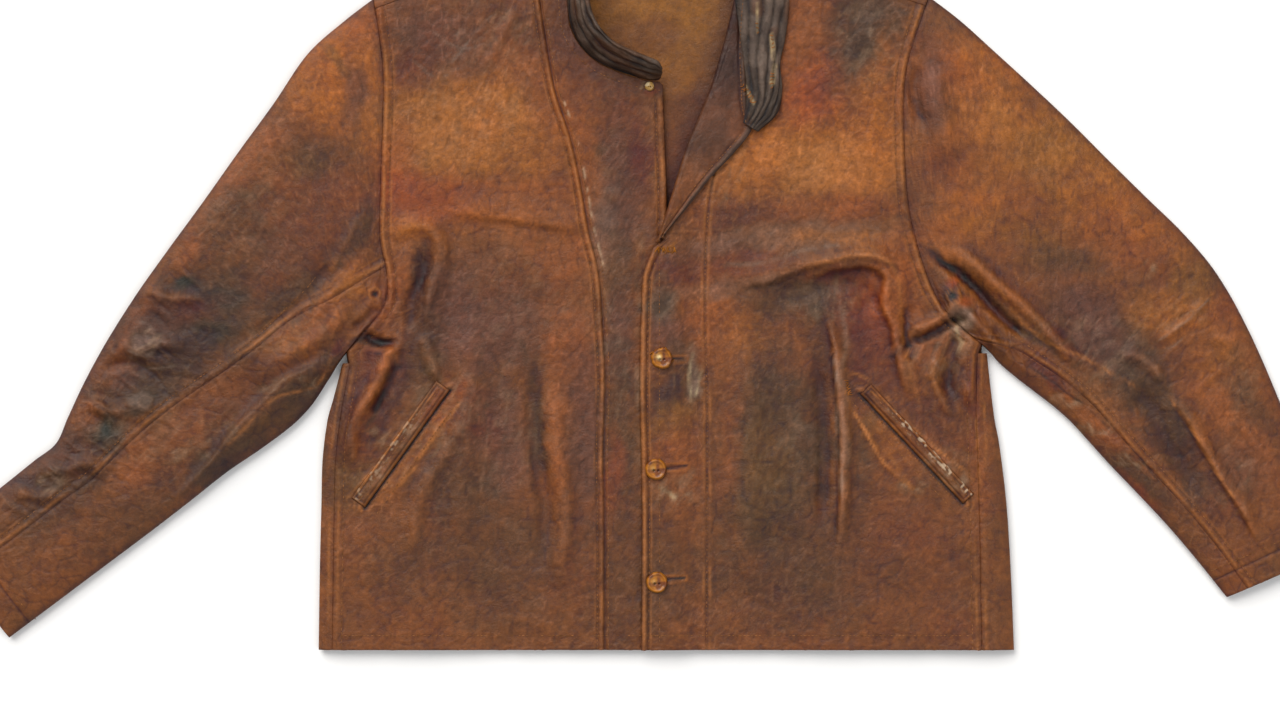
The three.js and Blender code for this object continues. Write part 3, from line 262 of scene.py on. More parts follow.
# Colours as the eye sees them, 0 to 255
TONES = {
    "tan": (174, 112, 66),
    "amber": (156, 92, 44),
    "russet": (140, 80, 48),
    "brown": (116, 70, 43),
    "chestnut": (104, 60, 40),
    "maroon": (90, 44, 32),
    "plum": (94, 62, 54),
    "umber": (80, 56, 42),
    "dark": (56, 39, 31),
    "slate": (68, 58, 52),
    "teal": (46, 50, 46),
    "grey": (132, 112, 100),
    "rust": (142, 66, 36),
    "olive": (108, 74, 38),
    "seam": (176, 112, 66),
    "ochre": (176, 112, 40),
    "cream": (214, 190, 150),
    "rubbed": (168, 112, 76),
    "scuff and sheen": (168, 138, 112),
    "fleck": (196, 164, 134),
    "collar shadow": (70, 44, 38),
    "collar hollow": (60, 50, 46),
    "collar ridge": (106, 90, 80),
    "collar warm": (92, 62, 46),
    "fray": (184, 158, 120),
    "inside low": (106, 62, 32),
    "inside high": (136, 88, 40),
    "inside stain": (98, 58, 30),
    "lapel": (124, 76, 52),
    "lapel worn": (94, 60, 46),
    "lapel foot": (134, 82, 50),
    "lapel head": (66, 48, 46),
    "lapel edge": (54, 44, 42),
    "lapel rub": (128, 96, 78),
    "welt fleck": (214, 188, 160),
    "horn hollow": (124, 72, 32),
    "stud hollow": (186, 144, 82),
    "glint": (250, 226, 170),
    "thread": (150, 104, 70),
}
BASE_TONE = "brown"
LIGHT_GAIN = 1.16  # how much lighter the studio shows the leather than its own colour
GLOSS_LIFT = (0.013, 0.016, 0.019)  # what the shine adds to every colour
VIVID = 1.06  # makes up for the colour that the shine washes out
DARKEST = 0.0035
# Patches of colour, some of them painted shade in folds and hollows: centre and half size in photo pixels,
# turn in degrees, tone and strength
PATCHES = [
    # Right front
    (470, 120, 100, 62, 4, "amber", 0.8),
    (455, 130, 76, 40, 0, "tan", 0.6),
    (490, 112, 50, 24, 10, "tan", 0.4),
    (520, 150, 50, 40, 0, "amber", 0.5),
    (440, 36, 56, 36, -10, "plum", 0.75),
    (420, 60, 36, 22, 30, "maroon", 0.55),
    (500, 30, 60, 34, 20, "chestnut", 0.7),
    (512, 60, 20, 50, 40, "russet", 0.5),
    (560, 70, 30, 60, 10, "chestnut", 0.7),
    (545, 110, 22, 50, 0, "russet", 0.5),
    (400, 170, 22, 60, 0, "russet", 0.7),
    (430, 195, 60, 24, 0, "rust", 0.5),
    (510, 200, 80, 26, 4, "russet", 0.8),
    (500, 240, 70, 32, 12, "amber", 0.3),
    (470, 262, 50, 26, 20, "plum", 0.45),
    (560, 250, 40, 60, 0, "russet", 0.7),
    (590, 200, 16, 80, 5, "russet", 0.6),
    (510, 320, 80, 50, 0, "chestnut", 0.7),
    (490, 330, 60, 46, 0, "plum", 0.6),
    (570, 350, 30, 80, 0, "russet", 0.55),
    (535, 430, 9, 80, 0, "dark", 0.75),
    (556, 440, 12, 90, 0, "russet", 0.55),
    (585, 430, 20, 90, 0, "plum", 0.75),
    (500, 440, 30, 60, 10, "plum", 0.7),
    (470, 420, 30, 30, 0, "maroon", 0.6),
    (430, 300, 16, 50, -8, "dark", 0.55),
    (452, 320, 30, 50, 0, "plum", 0.6),
    (420, 360, 26, 50, 10, "umber", 0.6),
    (440, 400, 14, 30, -30, "rust", 0.5),
    (370, 400, 26, 70, -26, "chestnut", 0.7),
    (344, 420, 14, 60, -10, "umber", 0.6),
    (374, 388, 9, 50, -26, "amber", 0.7),
    (356, 440, 9, 30, -20, "amber", 0.5),
    # Painted shade in the fold valley beside the side ridge
    (388, 400, 7, 50, -26, "dark", 0.7),
    (340, 430, 9, 60, 4, "umber", 0.7),
    (350, 480, 24, 26, 0, "olive", 0.45),
    (415, 450, 10, 60, -35, "amber", 0.5),
    (450, 480, 40, 40, 0, "umber", 0.7),
    (500, 560, 90, 60, 0, "umber", 0.6),
    (405, 228, 24, 14, 20, "amber", 0.6),
    (398, 262, 12, 30, 0, "russet", 0.8),
    (424, 268, 10, 34, 4, "dark", 0.7),
    (384, 296, 14, 20, 0, "russet", 0.6),
    # Right front's placket
    (618, 110, 24, 60, 0, "chestnut", 0.8),
    (614, 150, 16, 50, 0, "plum", 0.6),
    (640, 160, 14, 30, 0, "maroon", 0.8),
    (620, 215, 24, 40, 0, "plum", 0.75),
    (600, 235, 10, 40, 0, "grey", 0.3),
    (622, 280, 20, 50, 0, "umber", 0.7),
    (622, 340, 18, 50, 0, "plum", 0.7),
    (615, 345, 22, 8, 8, "slate", 0.5),
    (622, 430, 18, 70, 0, "umber", 0.75),
    (612, 470, 10, 40, 0, "rust", 0.4),
    (640, 560, 44, 80, 0, "umber", 0.6),
    # Middle, round the buttons
    (651, 92, 6, 5, 0, "rust", 0.8),
    (672, 262, 30, 22, 0, "maroon", 0.6),
    (664, 300, 16, 22, 10, "slate", 0.85),
    (672, 330, 22, 16, 0, "plum", 0.7),
    (684, 352, 14, 16, 0, "slate", 0.6),
    (668, 388, 20, 16, 30, "dark", 0.75),
    (690, 378, 6, 24, -12, "grey", 0.55),
    (668, 420, 24, 20, 0, "olive", 0.5),
    (680, 470, 26, 40, 0, "russet", 0.4),
    # Left front
    (724, 262, 36, 30, 0, "maroon", 0.5),
    (715, 330, 24, 50, 0, "russet", 0.7),
    (745, 340, 26, 60, 0, "amber", 0.35),
    (800, 150, 100, 50, 0, "amber", 0.85),
    (840, 158, 66, 34, -5, "tan", 0.6),
    (790, 170, 60, 24, 0, "tan", 0.3),
    (800, 60, 50, 50, 30, "russet", 0.7),
    (822, 82, 20, 44, -30, "rust", 0.5),
    (868, 26, 30, 40, -35, "slate", 0.8),
    (850, 60, 14, 40, -35, "dark", 0.45),
    (838, 20, 14, 24, -40, "dark", 0.55),
    (800, 20, 22, 30, 0, "russet", 0.6),
    (884, 120, 16, 80, 0, "amber", 0.6),
    (800, 207, 100, 14, 2, "maroon", 0.35),
    (740, 215, 30, 16, 20, "dark", 0.4),
    (850, 205, 50, 12, 0, "russet", 0.6),
    (780, 236, 90, 14, 6, "grey", 0.3),
    (760, 262, 60, 10, 0, "chestnut", 0.6),
    (850, 240, 60, 10, -6, "amber", 0.6),
    (745, 284, 50, 9, 6, "grey", 0.3),
    (830, 276, 50, 8, 10, "maroon", 0.8),
    (895, 262, 22, 26, 0, "russet", 0.75),
    (905, 300, 20, 34, 0, "russet", 0.7),
    (818, 300, 22, 22, 0, "slate", 0.75),
    (790, 300, 50, 18, 5, "umber", 0.8),
    (845, 315, 20, 34, 0, "maroon", 0.7),
    (874, 320, 14, 46, 4, "rust", 0.5),
    (800, 360, 34, 26, 0, "russet", 0.4),
    (818, 400, 16, 100, 0, "dark", 0.6),
    (842, 400, 5, 90, 0, "grey", 0.3),
    (786, 440, 34, 70, 5, "slate", 0.55),
    (760, 450, 46, 90, 0, "umber", 0.9),
    (770, 480, 30, 60, 0, "olive", 0.4),
    (728, 430, 12, 70, 0, "russet", 0.5),
    (800, 560, 90, 70, 0, "umber", 0.7),
    (862, 420, 14, 80, 0, "umber", 0.8),
    (860, 350, 12, 60, 0, "maroon", 0.6),
    (888, 372, 16, 30, 0, "chestnut", 0.8),
    (880, 440, 20, 40, 40, "amber", 0.45),
    (930, 352, 26, 26, 0, "russet", 0.6),
    (938, 382, 16, 24, 0, "olive", 0.6),
    (953, 366, 7, 46, 4, "dark", 0.9),
    (950, 392, 9, 16, 0, "dark", 0.6),
    (960, 322, 12, 14, 20, "grey", 0.7),
    (930, 430, 24, 40, 45, "chestnut", 0.7),
    (975, 400, 8, 60, 0, "maroon", 0.7),
    (980, 470, 10, 60, 0, "russet", 0.6),
    (905, 560, 60, 60, 0, "chestnut", 0.5),
    # Right sleeve
    (345, 60, 34, 46, 45, "amber", 0.85),
    (318, 92, 34, 40, 40, "amber", 0.75),
    (365, 26, 20, 24, 0, "russet", 0.75),
    (338, 58, 6, 20, 20, "olive", 0.6),
    (355, 92, 14, 34, 8, "plum", 0.7),
    (372, 110, 6, 80, 4, "amber", 0.4),
    (316, 160, 46, 24, 0, "umber", 0.85),
    (306, 165, 30, 14, 0, "olive", 0.5),
    (350, 190, 22, 40, 10, "russet", 0.5),
    (268, 160, 30, 30, 50, "russet", 0.45),
    (222, 200, 14, 80, -34, "russet", 0.7),
    (240, 215, 40, 24, 30, "umber", 0.7),
    (284, 240, 34, 24, 10, "plum", 0.7),
    (268, 232, 18, 18, 0, "slate", 0.35),
    (322, 235, 34, 40, 30, "chestnut", 0.7),
    (300, 285, 30, 16, 30, "umber", 0.8),
    (352, 232, 12, 46, -32, "umber", 0.8),
    (300, 210, 60, 36, 45, "chestnut", 0.5),
    (190, 340, 110, 60, 37, "umber", 0.6),
    (200, 320, 95, 46, 37, "umber", 0.8),
    (290, 265, 60, 30, 35, "chestnut", 0.6),
    (120, 400, 60, 26, 37, "umber", 0.7),
    # Painted shadow below the sleeve's lower fold
    (300, 398, 46, 13, 42, "umber", 0.8),
    (245, 440, 50, 13, 38, "umber", 0.75),
    (170, 330, 40, 30, 0, "plum", 0.5),
    (182, 281, 16, 5, 8, "teal", 1.0),
    (205, 286, 16, 5, 8, "dark", 0.9),
    (225, 296, 22, 14, 0, "slate", 0.7),
    (188, 306, 32, 14, 10, "maroon", 0.75),
    (150, 312, 14, 18, 20, "maroon", 0.6),
    (128, 332, 7, 40, -28, "russet", 0.6),
    (158, 316, 10, 8, 0, "slate", 0.5),
    (145, 340, 13, 11, 0, "grey", 0.55),
    (210, 334, 26, 14, 0, "teal", 0.75),
    (185, 345, 40, 14, 12, "dark", 0.9),
    (120, 362, 16, 16, 50, "russet", 0.55),
    (126, 378, 22, 12, 0, "plum", 0.85),
    (160, 372, 40, 9, 30, "umber", 0.7),
    (150, 395, 34, 14, 35, "umber", 0.85),
    (104, 434, 20, 17, 20, "teal", 1.0),
    (118, 446, 14, 10, 30, "dark", 0.9),
    (140, 402, 12, 8, 30, "grey", 0.35),
    (84, 420, 16, 16, 40, "russet", 0.5),
    (60, 452, 24, 14, 35, "plum", 0.8),
    (52, 478, 18, 9, 35, "slate", 0.75),
    (54, 482, 8, 6, 0, "grey", 0.6),
    (30, 480, 20, 10, 30, "dark", 0.6),
    (80, 482, 22, 12, 38, "umber", 0.8),
    (280, 300, 60, 12, 34, "umber", 0.6),
    (350, 285, 24, 20, 40, "amber", 0.65),
    (318, 320, 34, 18, 36, "russet", 0.8),
    (290, 350, 30, 20, 36, "amber", 0.45),
    (265, 372, 30, 16, 36, "chestnut", 0.7),
    (210, 410, 50, 20, 38, "russet", 0.6),
    (250, 400, 36, 14, 38, "chestnut", 0.7),
    (150, 456, 50, 20, 38, "russet", 0.6),
    (165, 470, 30, 12, 38, "dark", 0.45),
    # Umber rows: painted shadow below the sleeve's lower fold
    (322, 362, 26, 10, 42, "umber", 0.75),
    (305, 396, 24, 14, 36, "umber", 0.85),
    (262, 428, 40, 12, 36, "olive", 0.5),
    (200, 470, 50, 12, 38, "umber", 0.8),
    (225, 460, 30, 12, 36, "umber", 0.8),
    (60, 500, 60, 30, 36, "umber", 0.7),
    (120, 520, 60, 24, 36, "umber", 0.5),
    (170, 335, 74, 46, 37, "dark", 0.4),
    (150, 330, 40, 30, 37, "plum", 0.4),
    (60, 470, 60, 30, 36, "dark", 0.4),
    (260, 425, 70, 24, 38, "dark", 0.4),
    (230, 405, 90, 30, 38, "umber", 0.3),
    (290, 380, 50, 20, 38, "umber", 0.35),
    (366, 402, 26, 60, -20, "maroon", 0.5),
    # Left sleeve
    (950, 90, 44, 60, 48, "russet", 0.8),
    (932, 92, 14, 50, 4, "plum", 0.75),
    (988, 66, 24, 40, 48, "amber", 0.7),
    (975, 110, 30, 24, -42, "amber", 0.5),
    (1000, 80, 5, 40, 46, "umber", 0.35),
    (1030, 135, 50, 30, -38, "amber", 0.85),
    (1085, 180, 60, 40, -38, "olive", 0.75),
    (1095, 180, 60, 34, -38, "amber", 0.75),
    (1150, 250, 50, 24, -40, "amber", 0.5),
    (948, 168, 40, 26, 0, "chestnut", 0.8),
    (1040, 176, 44, 10, 14, "chestnut", 0.75),
    (965, 212, 34, 26, -30, "amber", 0.55),
    (1010, 230, 50, 20, -20, "olive", 0.6),
    (940, 240, 24, 24, -40, "russet", 0.6),
    (1060, 262, 44, 14, 0, "umber", 0.75),
    (1105, 232, 40, 24, -30, "russet", 0.6),
    (1150, 262, 40, 20, -40, "chestnut", 0.55),
    (1170, 312, 40, 24, 0, "amber", 0.65),
    (1200, 280, 26, 30, -50, "olive", 0.55),
    (1236, 330, 26, 40, 25, "russet", 0.6),
    (1250, 310, 10, 40, 25, "olive", 0.5),
    (1090, 312, 40, 26, -38, "plum", 0.85),
    (1110, 352, 34, 20, -40, "plum", 0.85),
    (1070, 345, 30, 12, -38, "maroon", 0.8),
    (1138, 345, 14, 30, 40, "slate", 0.45),
    (1130, 380, 34, 14, -40, "umber", 0.9),
    (1100, 345, 54, 26, -38, "plum", 0.7),
    (1140, 392, 48, 24, -46, "umber", 0.85),
    (1172, 440, 56, 17, -54, "dark", 0.6),
    (1200, 490, 40, 14, -54, "umber", 0.8),
    (1180, 440, 30, 10, -54, "dark", 0.6),
    (1156, 410, 34, 16, -48, "umber", 0.9),
    (1010, 320, 44, 6, -42, "amber", 0.5),
    (1045, 372, 34, 8, -42, "maroon", 0.7),
    (1100, 430, 44, 8, -43, "russet", 0.7),
    (1140, 478, 44, 12, -43, "umber", 0.8),
    (1130, 495, 34, 12, -43, "rust", 0.5),
    (1226, 420, 24, 70, 30, "russet", 0.7),
    (1248, 400, 14, 60, 30, "umber", 0.5),
    (1210, 360, 26, 26, 0, "amber", 0.5),
    (1240, 470, 26, 30, 30, "plum", 0.45),
    (1220, 500, 24, 24, 30, "chestnut", 0.6),
    # Painted shade in hollows, folds and the armpits (the dark and umber rows), and last touches
    (945, 262, 26, 4, -34, "dark", 0.8),
    (990, 300, 34, 5, -42, "umber", 0.9),
    (1034, 340, 30, 5, -40, "umber", 0.8),
    (380, 342, 18, 4, 0, "dark", 1.0),
    (364, 337, 9, 4, 30, "dark", 1.0),
    (344, 345, 10, 5, 50, "maroon", 0.8),
    (952, 298, 6, 9, 20, "dark", 1.0),
    (953, 286, 6, 5, 20, "rust", 0.7),
    (966, 306, 8, 5, 0, "rust", 0.6),
    (930, 332, 34, 4, 22, "umber", 0.8),
    (1000, 190, 70, 60, -40, "amber", 0.45),
    (1030, 150, 60, 26, -42, "tan", 0.25),
    (935, 380, 30, 60, 0, "chestnut", 0.4),
    (880, 352, 26, 36, 0, "maroon", 0.4),
]
# Pale scuffs and painted sheen streaks: centre and half size in photo pixels, direction of their streaks in
# degrees, strength
SCUFFS_AND_SHEEN = [
    (145, 340, 16, 14, 30, 0.8),
    (54, 482, 14, 12, 40, 0.9),
    (110, 430, 24, 20, 60, 0.5),
    (693, 376, 10, 34, 65, 0.55),
    (945, 462, 24, 12, -47, 1.0),
    (956, 478, 14, 10, -47, 1.0),
    (914, 486, 14, 8, -35, 1.0),
    (885, 420, 20, 10, -45, 0.5),
    (404, 436, 44, 12, 55, 0.7),
    (372, 474, 34, 12, 55, 0.7),
    (424, 450, 34, 8, 55, 0.4),
    (664, 300, 18, 26, 55, 0.45),
    (828, 300, 34, 22, 85, 0.5),
    (842, 420, 8, 90, 88, 0.35),
    (780, 450, 50, 60, 75, 0.3),
    (962, 332, 12, 20, 60, 0.9),
    (606, 180, 12, 100, 70, 0.3),
    (600, 300, 14, 60, 60, 0.35),
    (614, 380, 14, 60, 75, 0.35),
    (480, 30, 60, 40, 55, 0.35),
    (470, 120, 70, 50, 80, 0.3),
    (510, 300, 70, 60, 60, 0.25),
    (500, 430, 60, 70, 85, 0.3),
    (868, 40, 34, 40, 50, 0.5),
    (1147, 269, 8, 8, 50, 1.0),
    (1170, 316, 34, 14, 25, 0.5),
    (1110, 352, 40, 34, 50, 0.45),
    (1060, 330, 50, 14, 42, 0.3),
    (1236, 470, 20, 50, 55, 0.3),
    (1242, 380, 16, 34, 60, 0.4),
    (930, 352, 30, 24, 60, 0.5),
    (440, 390, 26, 40, 55, 0.5),
    (240, 200, 60, 60, 50, 0.25),
    (290, 330, 60, 20, 38, 0.3),
    (200, 430, 60, 20, 38, 0.3),
    (676, 486, 26, 18, 60, 0.7),
    (1070, 400, 20, 7, -40, 1.0),
    (1100, 428, 26, 7, -42, 1.0),
    (1135, 460, 26, 7, -44, 1.0),
    (300, 385, 50, 8, 40, 0.6),
    (170, 455, 50, 8, 38, 0.6),
    (730, 160, 20, 50, 70, 0.4),
    (640, 340, 5, 150, 90, 0.5),
]
# Rubbed lines, dark lines and lines of painted shade: half breadth in millimetres, tone, strength and their
# points in photo pixels
LINES = [
    (1.3, "seam", 0.5, [(991, 282), (1036, 335), (1090, 362), (1146, 392)]),
    (1.3, "seam", 0.6, [(1166, 392), (1184, 416), (1199, 445), (1236, 502)]),
    (1.7, "grey", 0.6, [(833, 347), (838, 420), (842, 503)]),
    (1.9, "seam", 0.45,
     [(800, 262), (830, 262), (855, 255), (885, 260), (898, 279), (902, 330), (908, 372), (920, 408)]),
    (2.0, "grey", 0.35, [(720, 266), (762, 262), (800, 250), (850, 244)]),
    (1.3, "seam", 0.65, [(852, 408), (869, 438), (885, 466), (917, 492)]),
    (1.3, "seam", 0.85, [(429, 391), (404, 428), (379, 463), (345, 500)]),
    (1.0, "seam", 0.6, [(440, 383), (408, 424), (384, 458), (350, 500)]),
    (1.4, "seam", 0.75, [(462, 398), (428, 446), (396, 492)]),
    (1.7, "rust", 0.9, [(645, 90), (650, 95), (654, 91)]),
    (1.0, "cream", 0.6, [(644, 80), (640, 90)]),
    (1.8, "seam", 0.45, [(396, 236), (412, 225), (436, 232)]),
    (1.4, "cream", 0.5, [(693, 350), (688, 376), (692, 404)]),
    (1.3, "cream", 0.45, [(702, 368), (695, 396)]),
    (1.8, "cream", 0.5, [(658, 485), (678, 500)]),
    (2.8, "ochre", 0.9, [(655, 250), (676, 250)]),
    (0.8, "dark", 0.8, [(658, 250), (672, 251)]),
    (1.3, "grey", 0.4, [(449, 66), (470, 40), (500, 8)]),
    (1.2, "grey", 0.35, [(430, 30), (460, 48), (490, 44)]),
    (1.2, "grey", 0.3, [(410, 60), (440, 78), (462, 66)]),
    (1.2, "grey", 0.5, [(1152, 344), (1184, 322), (1212, 294)]),
    (1.2, "grey", 0.35, [(1140, 354), (1164, 350), (1196, 330)]),
    (1.1, "seam", 0.35, [(1160, 330), (1180, 306), (1190, 284)]),
    (1.3, "grey", 0.5, [(128, 350), (146, 356), (160, 344)]),
    (1.3, "grey", 0.5, [(132, 330), (144, 322), (158, 332)]),
    (1.3, "grey", 0.3, [(128, 356), (150, 368), (178, 364)]),
    (1.8, "cream", 0.45, [(960, 316), (956, 330), (964, 346)]),
    (1.3, "seam", 0.6, [(976, 408), (979, 503)]),
    (1.3, "seam", 0.5, [(984, 400), (986, 475)]),
    (1.2, "grey", 0.35, [(940, 340), (932, 356), (944, 372)]),
    # Painted shade in the sleeve's valley by the armpit
    (1.6, "dark", 0.8, [(925, 247), (960, 275), (985, 292), (1010, 318), (1040, 342)]),
    # Painted shadow along the lower side of the sleeve's lower fold
    (2.4, "umber", 0.7, [(340, 350), (321, 384), (286, 391), (271, 405), (235, 442), (204, 481)]),
    (1.5, "seam", 0.45, [(334, 352), (316, 386), (280, 396), (262, 412), (226, 448)]),
    (1.3, "seam", 0.75, [(862, 382), (892, 410), (925, 440), (962, 470), (981, 488)]),
    (1.4, "seam", 0.6, [(841, 381), (852, 408), (872, 438), (900, 470), (921, 503)]),
    (1.3, "seam", 0.5, [(848, 372), (868, 380), (892, 402)]),
    (1.4, "dark", 0.7, [(1020, 362), (1060, 388), (1100, 420), (1150, 470), (1178, 503)]),
    (4.0, "umber", 0.6, [(520, 330), (530, 380), (540, 440), (556, 500)]),
    # Painted shade in the armpit's cavity
    (3.4, "dark", 1.0, [(364, 334), (376, 341), (394, 341)]),
    # Painted shade in the fold valley beside the side ridge
    (3.2, "umber", 0.8, [(394, 350), (388, 380), (374, 416), (358, 440)]),
    (4.0, "umber", 0.6, [(378, 206), (350, 250), (318, 300), (284, 330)]),
    (4.0, "dark", 0.4, [(822, 345), (824, 420), (828, 503)]),
    # Painted shadow of the armpit pleat
    (2.2, "dark", 0.6, [(902, 350), (928, 338), (960, 322)]),
    (3.0, "umber", 0.7, [(330, 372), (326, 420), (324, 503)]),
]
# Buttonholes: ends in photo pixels and how open they are
BUTTONHOLES = [(664, 359, 684, 359, 1.1), (666, 468, 686, 466, 1.5), (660, 580, 684, 578, 1.4)]
# Small pits, such as a lost eyelet: place in photo pixels, radius and depth
PITS = [(375, 294, 3.4, 1.8), (953, 296, 4.5, 2.5)]
# Slits of the pockets: their ends, the side of the slit that the welt lies on, and the welt's width
POCKETS = [
    ("right", (-171, -27), (-247.5, -133), -1, 15.0),
    ("left", (198, -30.6), (290.5, -129.5), 1, 13.5),
]
BUTTONS = [("upper", 19.8, 1.8), ("middle", 14.4, -98.1), ("lower", 15.3, -199.8)]
STUD = (8.6, 246.5)
# Frayed pale lines on the collar: their ends in photo pixels and half breadth in millimetres
FRAYS = [
    ((771, 36), (772, 60), 1.8),
    ((773, 66), (771, 84), 2.0),
    ((757, 4), (757, 34), 1.1),
    ((742, 80), (754, 104), 1.2),
]


# Numbers
def clamp(t):
    return np.clip(t, 0.0, 1.0)


def smooth(t):
    t = clamp(t)
    return t * t * (3 - 2 * t)


def arch(t):
    """Height of a quarter-round edge at a share t of its breadth."""
    return np.sqrt(1 - (1 - clamp(t)) ** 2)


def faded_ends(t, portion):
    """1 in the middle, down to 0 over a portion at each end."""
    return smooth(t / portion) * smooth((1 - t) / portion)


def bump(far, centre, breadth):
    return np.exp(-(((far - centre) / breadth) ** 2))


def mix(a, b, t):
    return a + (b - a) * t


def shares(steps):
    return np.linspace(0.0, 1.0, steps + 1)


def parted(plan):
    """The x and the y of plan points."""
    return plan[..., 0], plan[..., 1]


def dense_ends(steps, length, edge=9.0, fine=0.75):
    """Shares from 0 to 1 that lie closer together near both ends."""
    spacing = length / steps
    rim = np.arange(0, edge, fine)
    middle = np.linspace(edge, length - edge, max(2, int((length - 2 * edge) / spacing) + 1))
    return np.concatenate([rim, middle, length - rim[::-1]]) / length


def smooth_line(rows, measure=(0, 1)):
    """A smooth line through rows of numbers, as a function of shares of its length."""
    rows = np.asarray(rows, float)
    steps = np.linalg.norm(np.diff(rows[:, list(measure)], axis=0), axis=1)
    at = np.concatenate([[0], np.cumsum(steps)])
    last = len(rows) - 1
    before = np.maximum(np.arange(last + 1) - 1, 0)
    after = np.minimum(np.arange(last + 1) + 1, last)
    slopes = (rows[after] - rows[before]) / (at[after] - at[before])[:, None]

    def line(share):
        u = clamp(np.atleast_1d(np.asarray(share, float))) * at[-1]
        i = np.clip(np.searchsorted(at, u, side="right") - 1, 0, last - 1)
        h = (at[i + 1] - at[i])[:, None]
        t = ((u - at[i])[:, None]) / h
        return (
            (1 + 2 * t) * (1 - t) ** 2 * rows[i]
            + t * (1 - t) ** 2 * h * slopes[i]
            + t * t * (3 - 2 * t) * rows[i + 1]
            + t * t * (t - 1) * h * slopes[i + 1]
        )

    return line


def straight(a, b):
    a, b = np.asarray(a, float), np.asarray(b, float)
    return lambda t: a + (b - a) * np.atleast_1d(t)[:, None]


def moved(line, dx):
    return lambda t: line(t) + np.array([dx, 0.0])


def stretch(line, start, end):
    return lambda t: line(mix(start, end, np.atleast_1d(t)))


def joined(*parts):
    """Lines end to end, each with its own portion of the whole."""

    def line(share):
        share = np.atleast_1d(np.asarray(share, float))
        out = np.zeros((len(share), 2))
        start = 0.0
        for k, (piece, portion) in enumerate(parts):
            last = k == len(parts) - 1
            here = (share >= start - 1e-9) & ((share <= start + portion + 1e-9) | last)
            out[here] = piece((share[here] - start) / portion)
            start += portion
        return out

    return line


# Noise and lines
CELLS = 256
LAYERS = 4
LATTICE = np.random.default_rng(11).random((LAYERS, CELLS, CELLS))


def noise(x, y, size, layer=0):
    """Smooth noise from 0 to 1 with lumps of that size."""
    u, v = x / size + 37.3 * (layer + 1), y / size + 91.7 * (layer + 1)
    i, j = np.floor(u).astype(int), np.floor(v).astype(int)
    s, t = smooth(u - i), smooth(v - j)
    table = LATTICE[layer % LAYERS]
    i0, j0, i1, j1 = i % CELLS, j % CELLS, (i + 1) % CELLS, (j + 1) % CELLS
    return mix(mix(table[i0, j0], table[i1, j0], s), mix(table[i0, j1], table[i1, j1], s), t)


def rough(x, y, size, layer=0, octaves=3):
    """Several layers of noise, about -1 to 1."""
    total, weight = 0.0, 0.0
    for k in range(octaves):
        share = 0.5**k
        total = total + share * (noise(x, y, size / 2**k, layer + k) - 0.5) * 2
        weight += share
    return total / weight


def blots(x, y, size, layer, start, breadth):
    """Noise with its middle stretched out, which gives patches with soft borders, from 0 to 1."""
    return smooth((noise(x, y, size, layer) - start) / breadth)


def ridged(x, y, size, layer, power=1):
    """Thin meandering lines, from 0 to 1."""
    return (1 - np.abs(2 * noise(x, y, size, layer) - 1)) ** power


def cracks(x, y, size, layer, breadth=0.1):
    """Lines along the borders of random cells, from 0 to 1."""
    u, v = x / size + 13.7, y / size + 5.3
    i0, j0 = np.floor(u).astype(int), np.floor(v).astype(int)
    first, second = np.full(x.shape, 9.0), np.full(x.shape, 9.0)
    for di in (-1, 0, 1):
        for dj in (-1, 0, 1):
            i, j = i0 + di, j0 + dj
            seed_x = i + LATTICE[layer % LAYERS][i % CELLS, j % CELLS]
            seed_y = j + LATTICE[(layer + 1) % LAYERS][i % CELLS, j % CELLS]
            far = np.hypot(seed_x - u, seed_y - v)
            second = np.minimum(second, np.maximum(first, far))
            first = np.minimum(first, far)
    return bump(second - first, 0, breadth)


def wandered(x, y, reach, size, layer_x, layer_y):
    """Places moved about a little, so that lines drawn at them are uneven."""
    return x + reach * rough(x, y, size, layer_x, 2), y + reach * rough(x, y, size, layer_y, 2)


def turned_by(x, y, angle):
    """Places along and across a direction in degrees."""
    turn = math.radians(angle)
    return x * math.cos(turn) + y * math.sin(turn), -x * math.sin(turn) + y * math.cos(turn)


def box_about(x, y, points, reach):
    """Which places lie in the box round some points, widened by a reach."""
    low, high = np.min(points, axis=0) - reach, np.max(points, axis=0) + reach
    return (x > low[0]) & (x < high[0]) & (y > low[1]) & (y < high[1])


def oval(dx, dy, half_x, half_y):
    """Distance from an oval's middle as a share of its half size, which is in photo pixels."""
    return np.hypot(dx / (half_x * PHOTO_PIXEL), dy / (half_y * PHOTO_PIXEL))


def near_line(x, y, points):
    """Distance to a line, signed so that its left side is positive, and the share along it."""
    best = np.full(x.shape, 1e9)
    side = np.zeros(x.shape)
    share = np.zeros(x.shape)
    count = len(points) - 1
    for k in range(count):
        a, b = points[k], points[k + 1]
        dx, dy = b[0] - a[0], b[1] - a[1]
        t = clamp(((x - a[0]) * dx + (y - a[1]) * dy) / (dx * dx + dy * dy))
        far = np.hypot(x - a[0] - t * dx, y - a[1] - t * dy)
        nearer = far < best
        best = np.where(nearer, far, best)
        side = np.where(nearer, np.sign(dx * (y - a[1]) - dy * (x - a[0])), side)
        share = np.where(nearer, (k + t) / count, share)
    return best, side, share


def far_from(x, y, points):
    return near_line(x, y, points)[0]


def line_x(points, y):
    """The x of a rising line of points at heights y."""
    return np.interp(y, points[:, 1], points[:, 0])


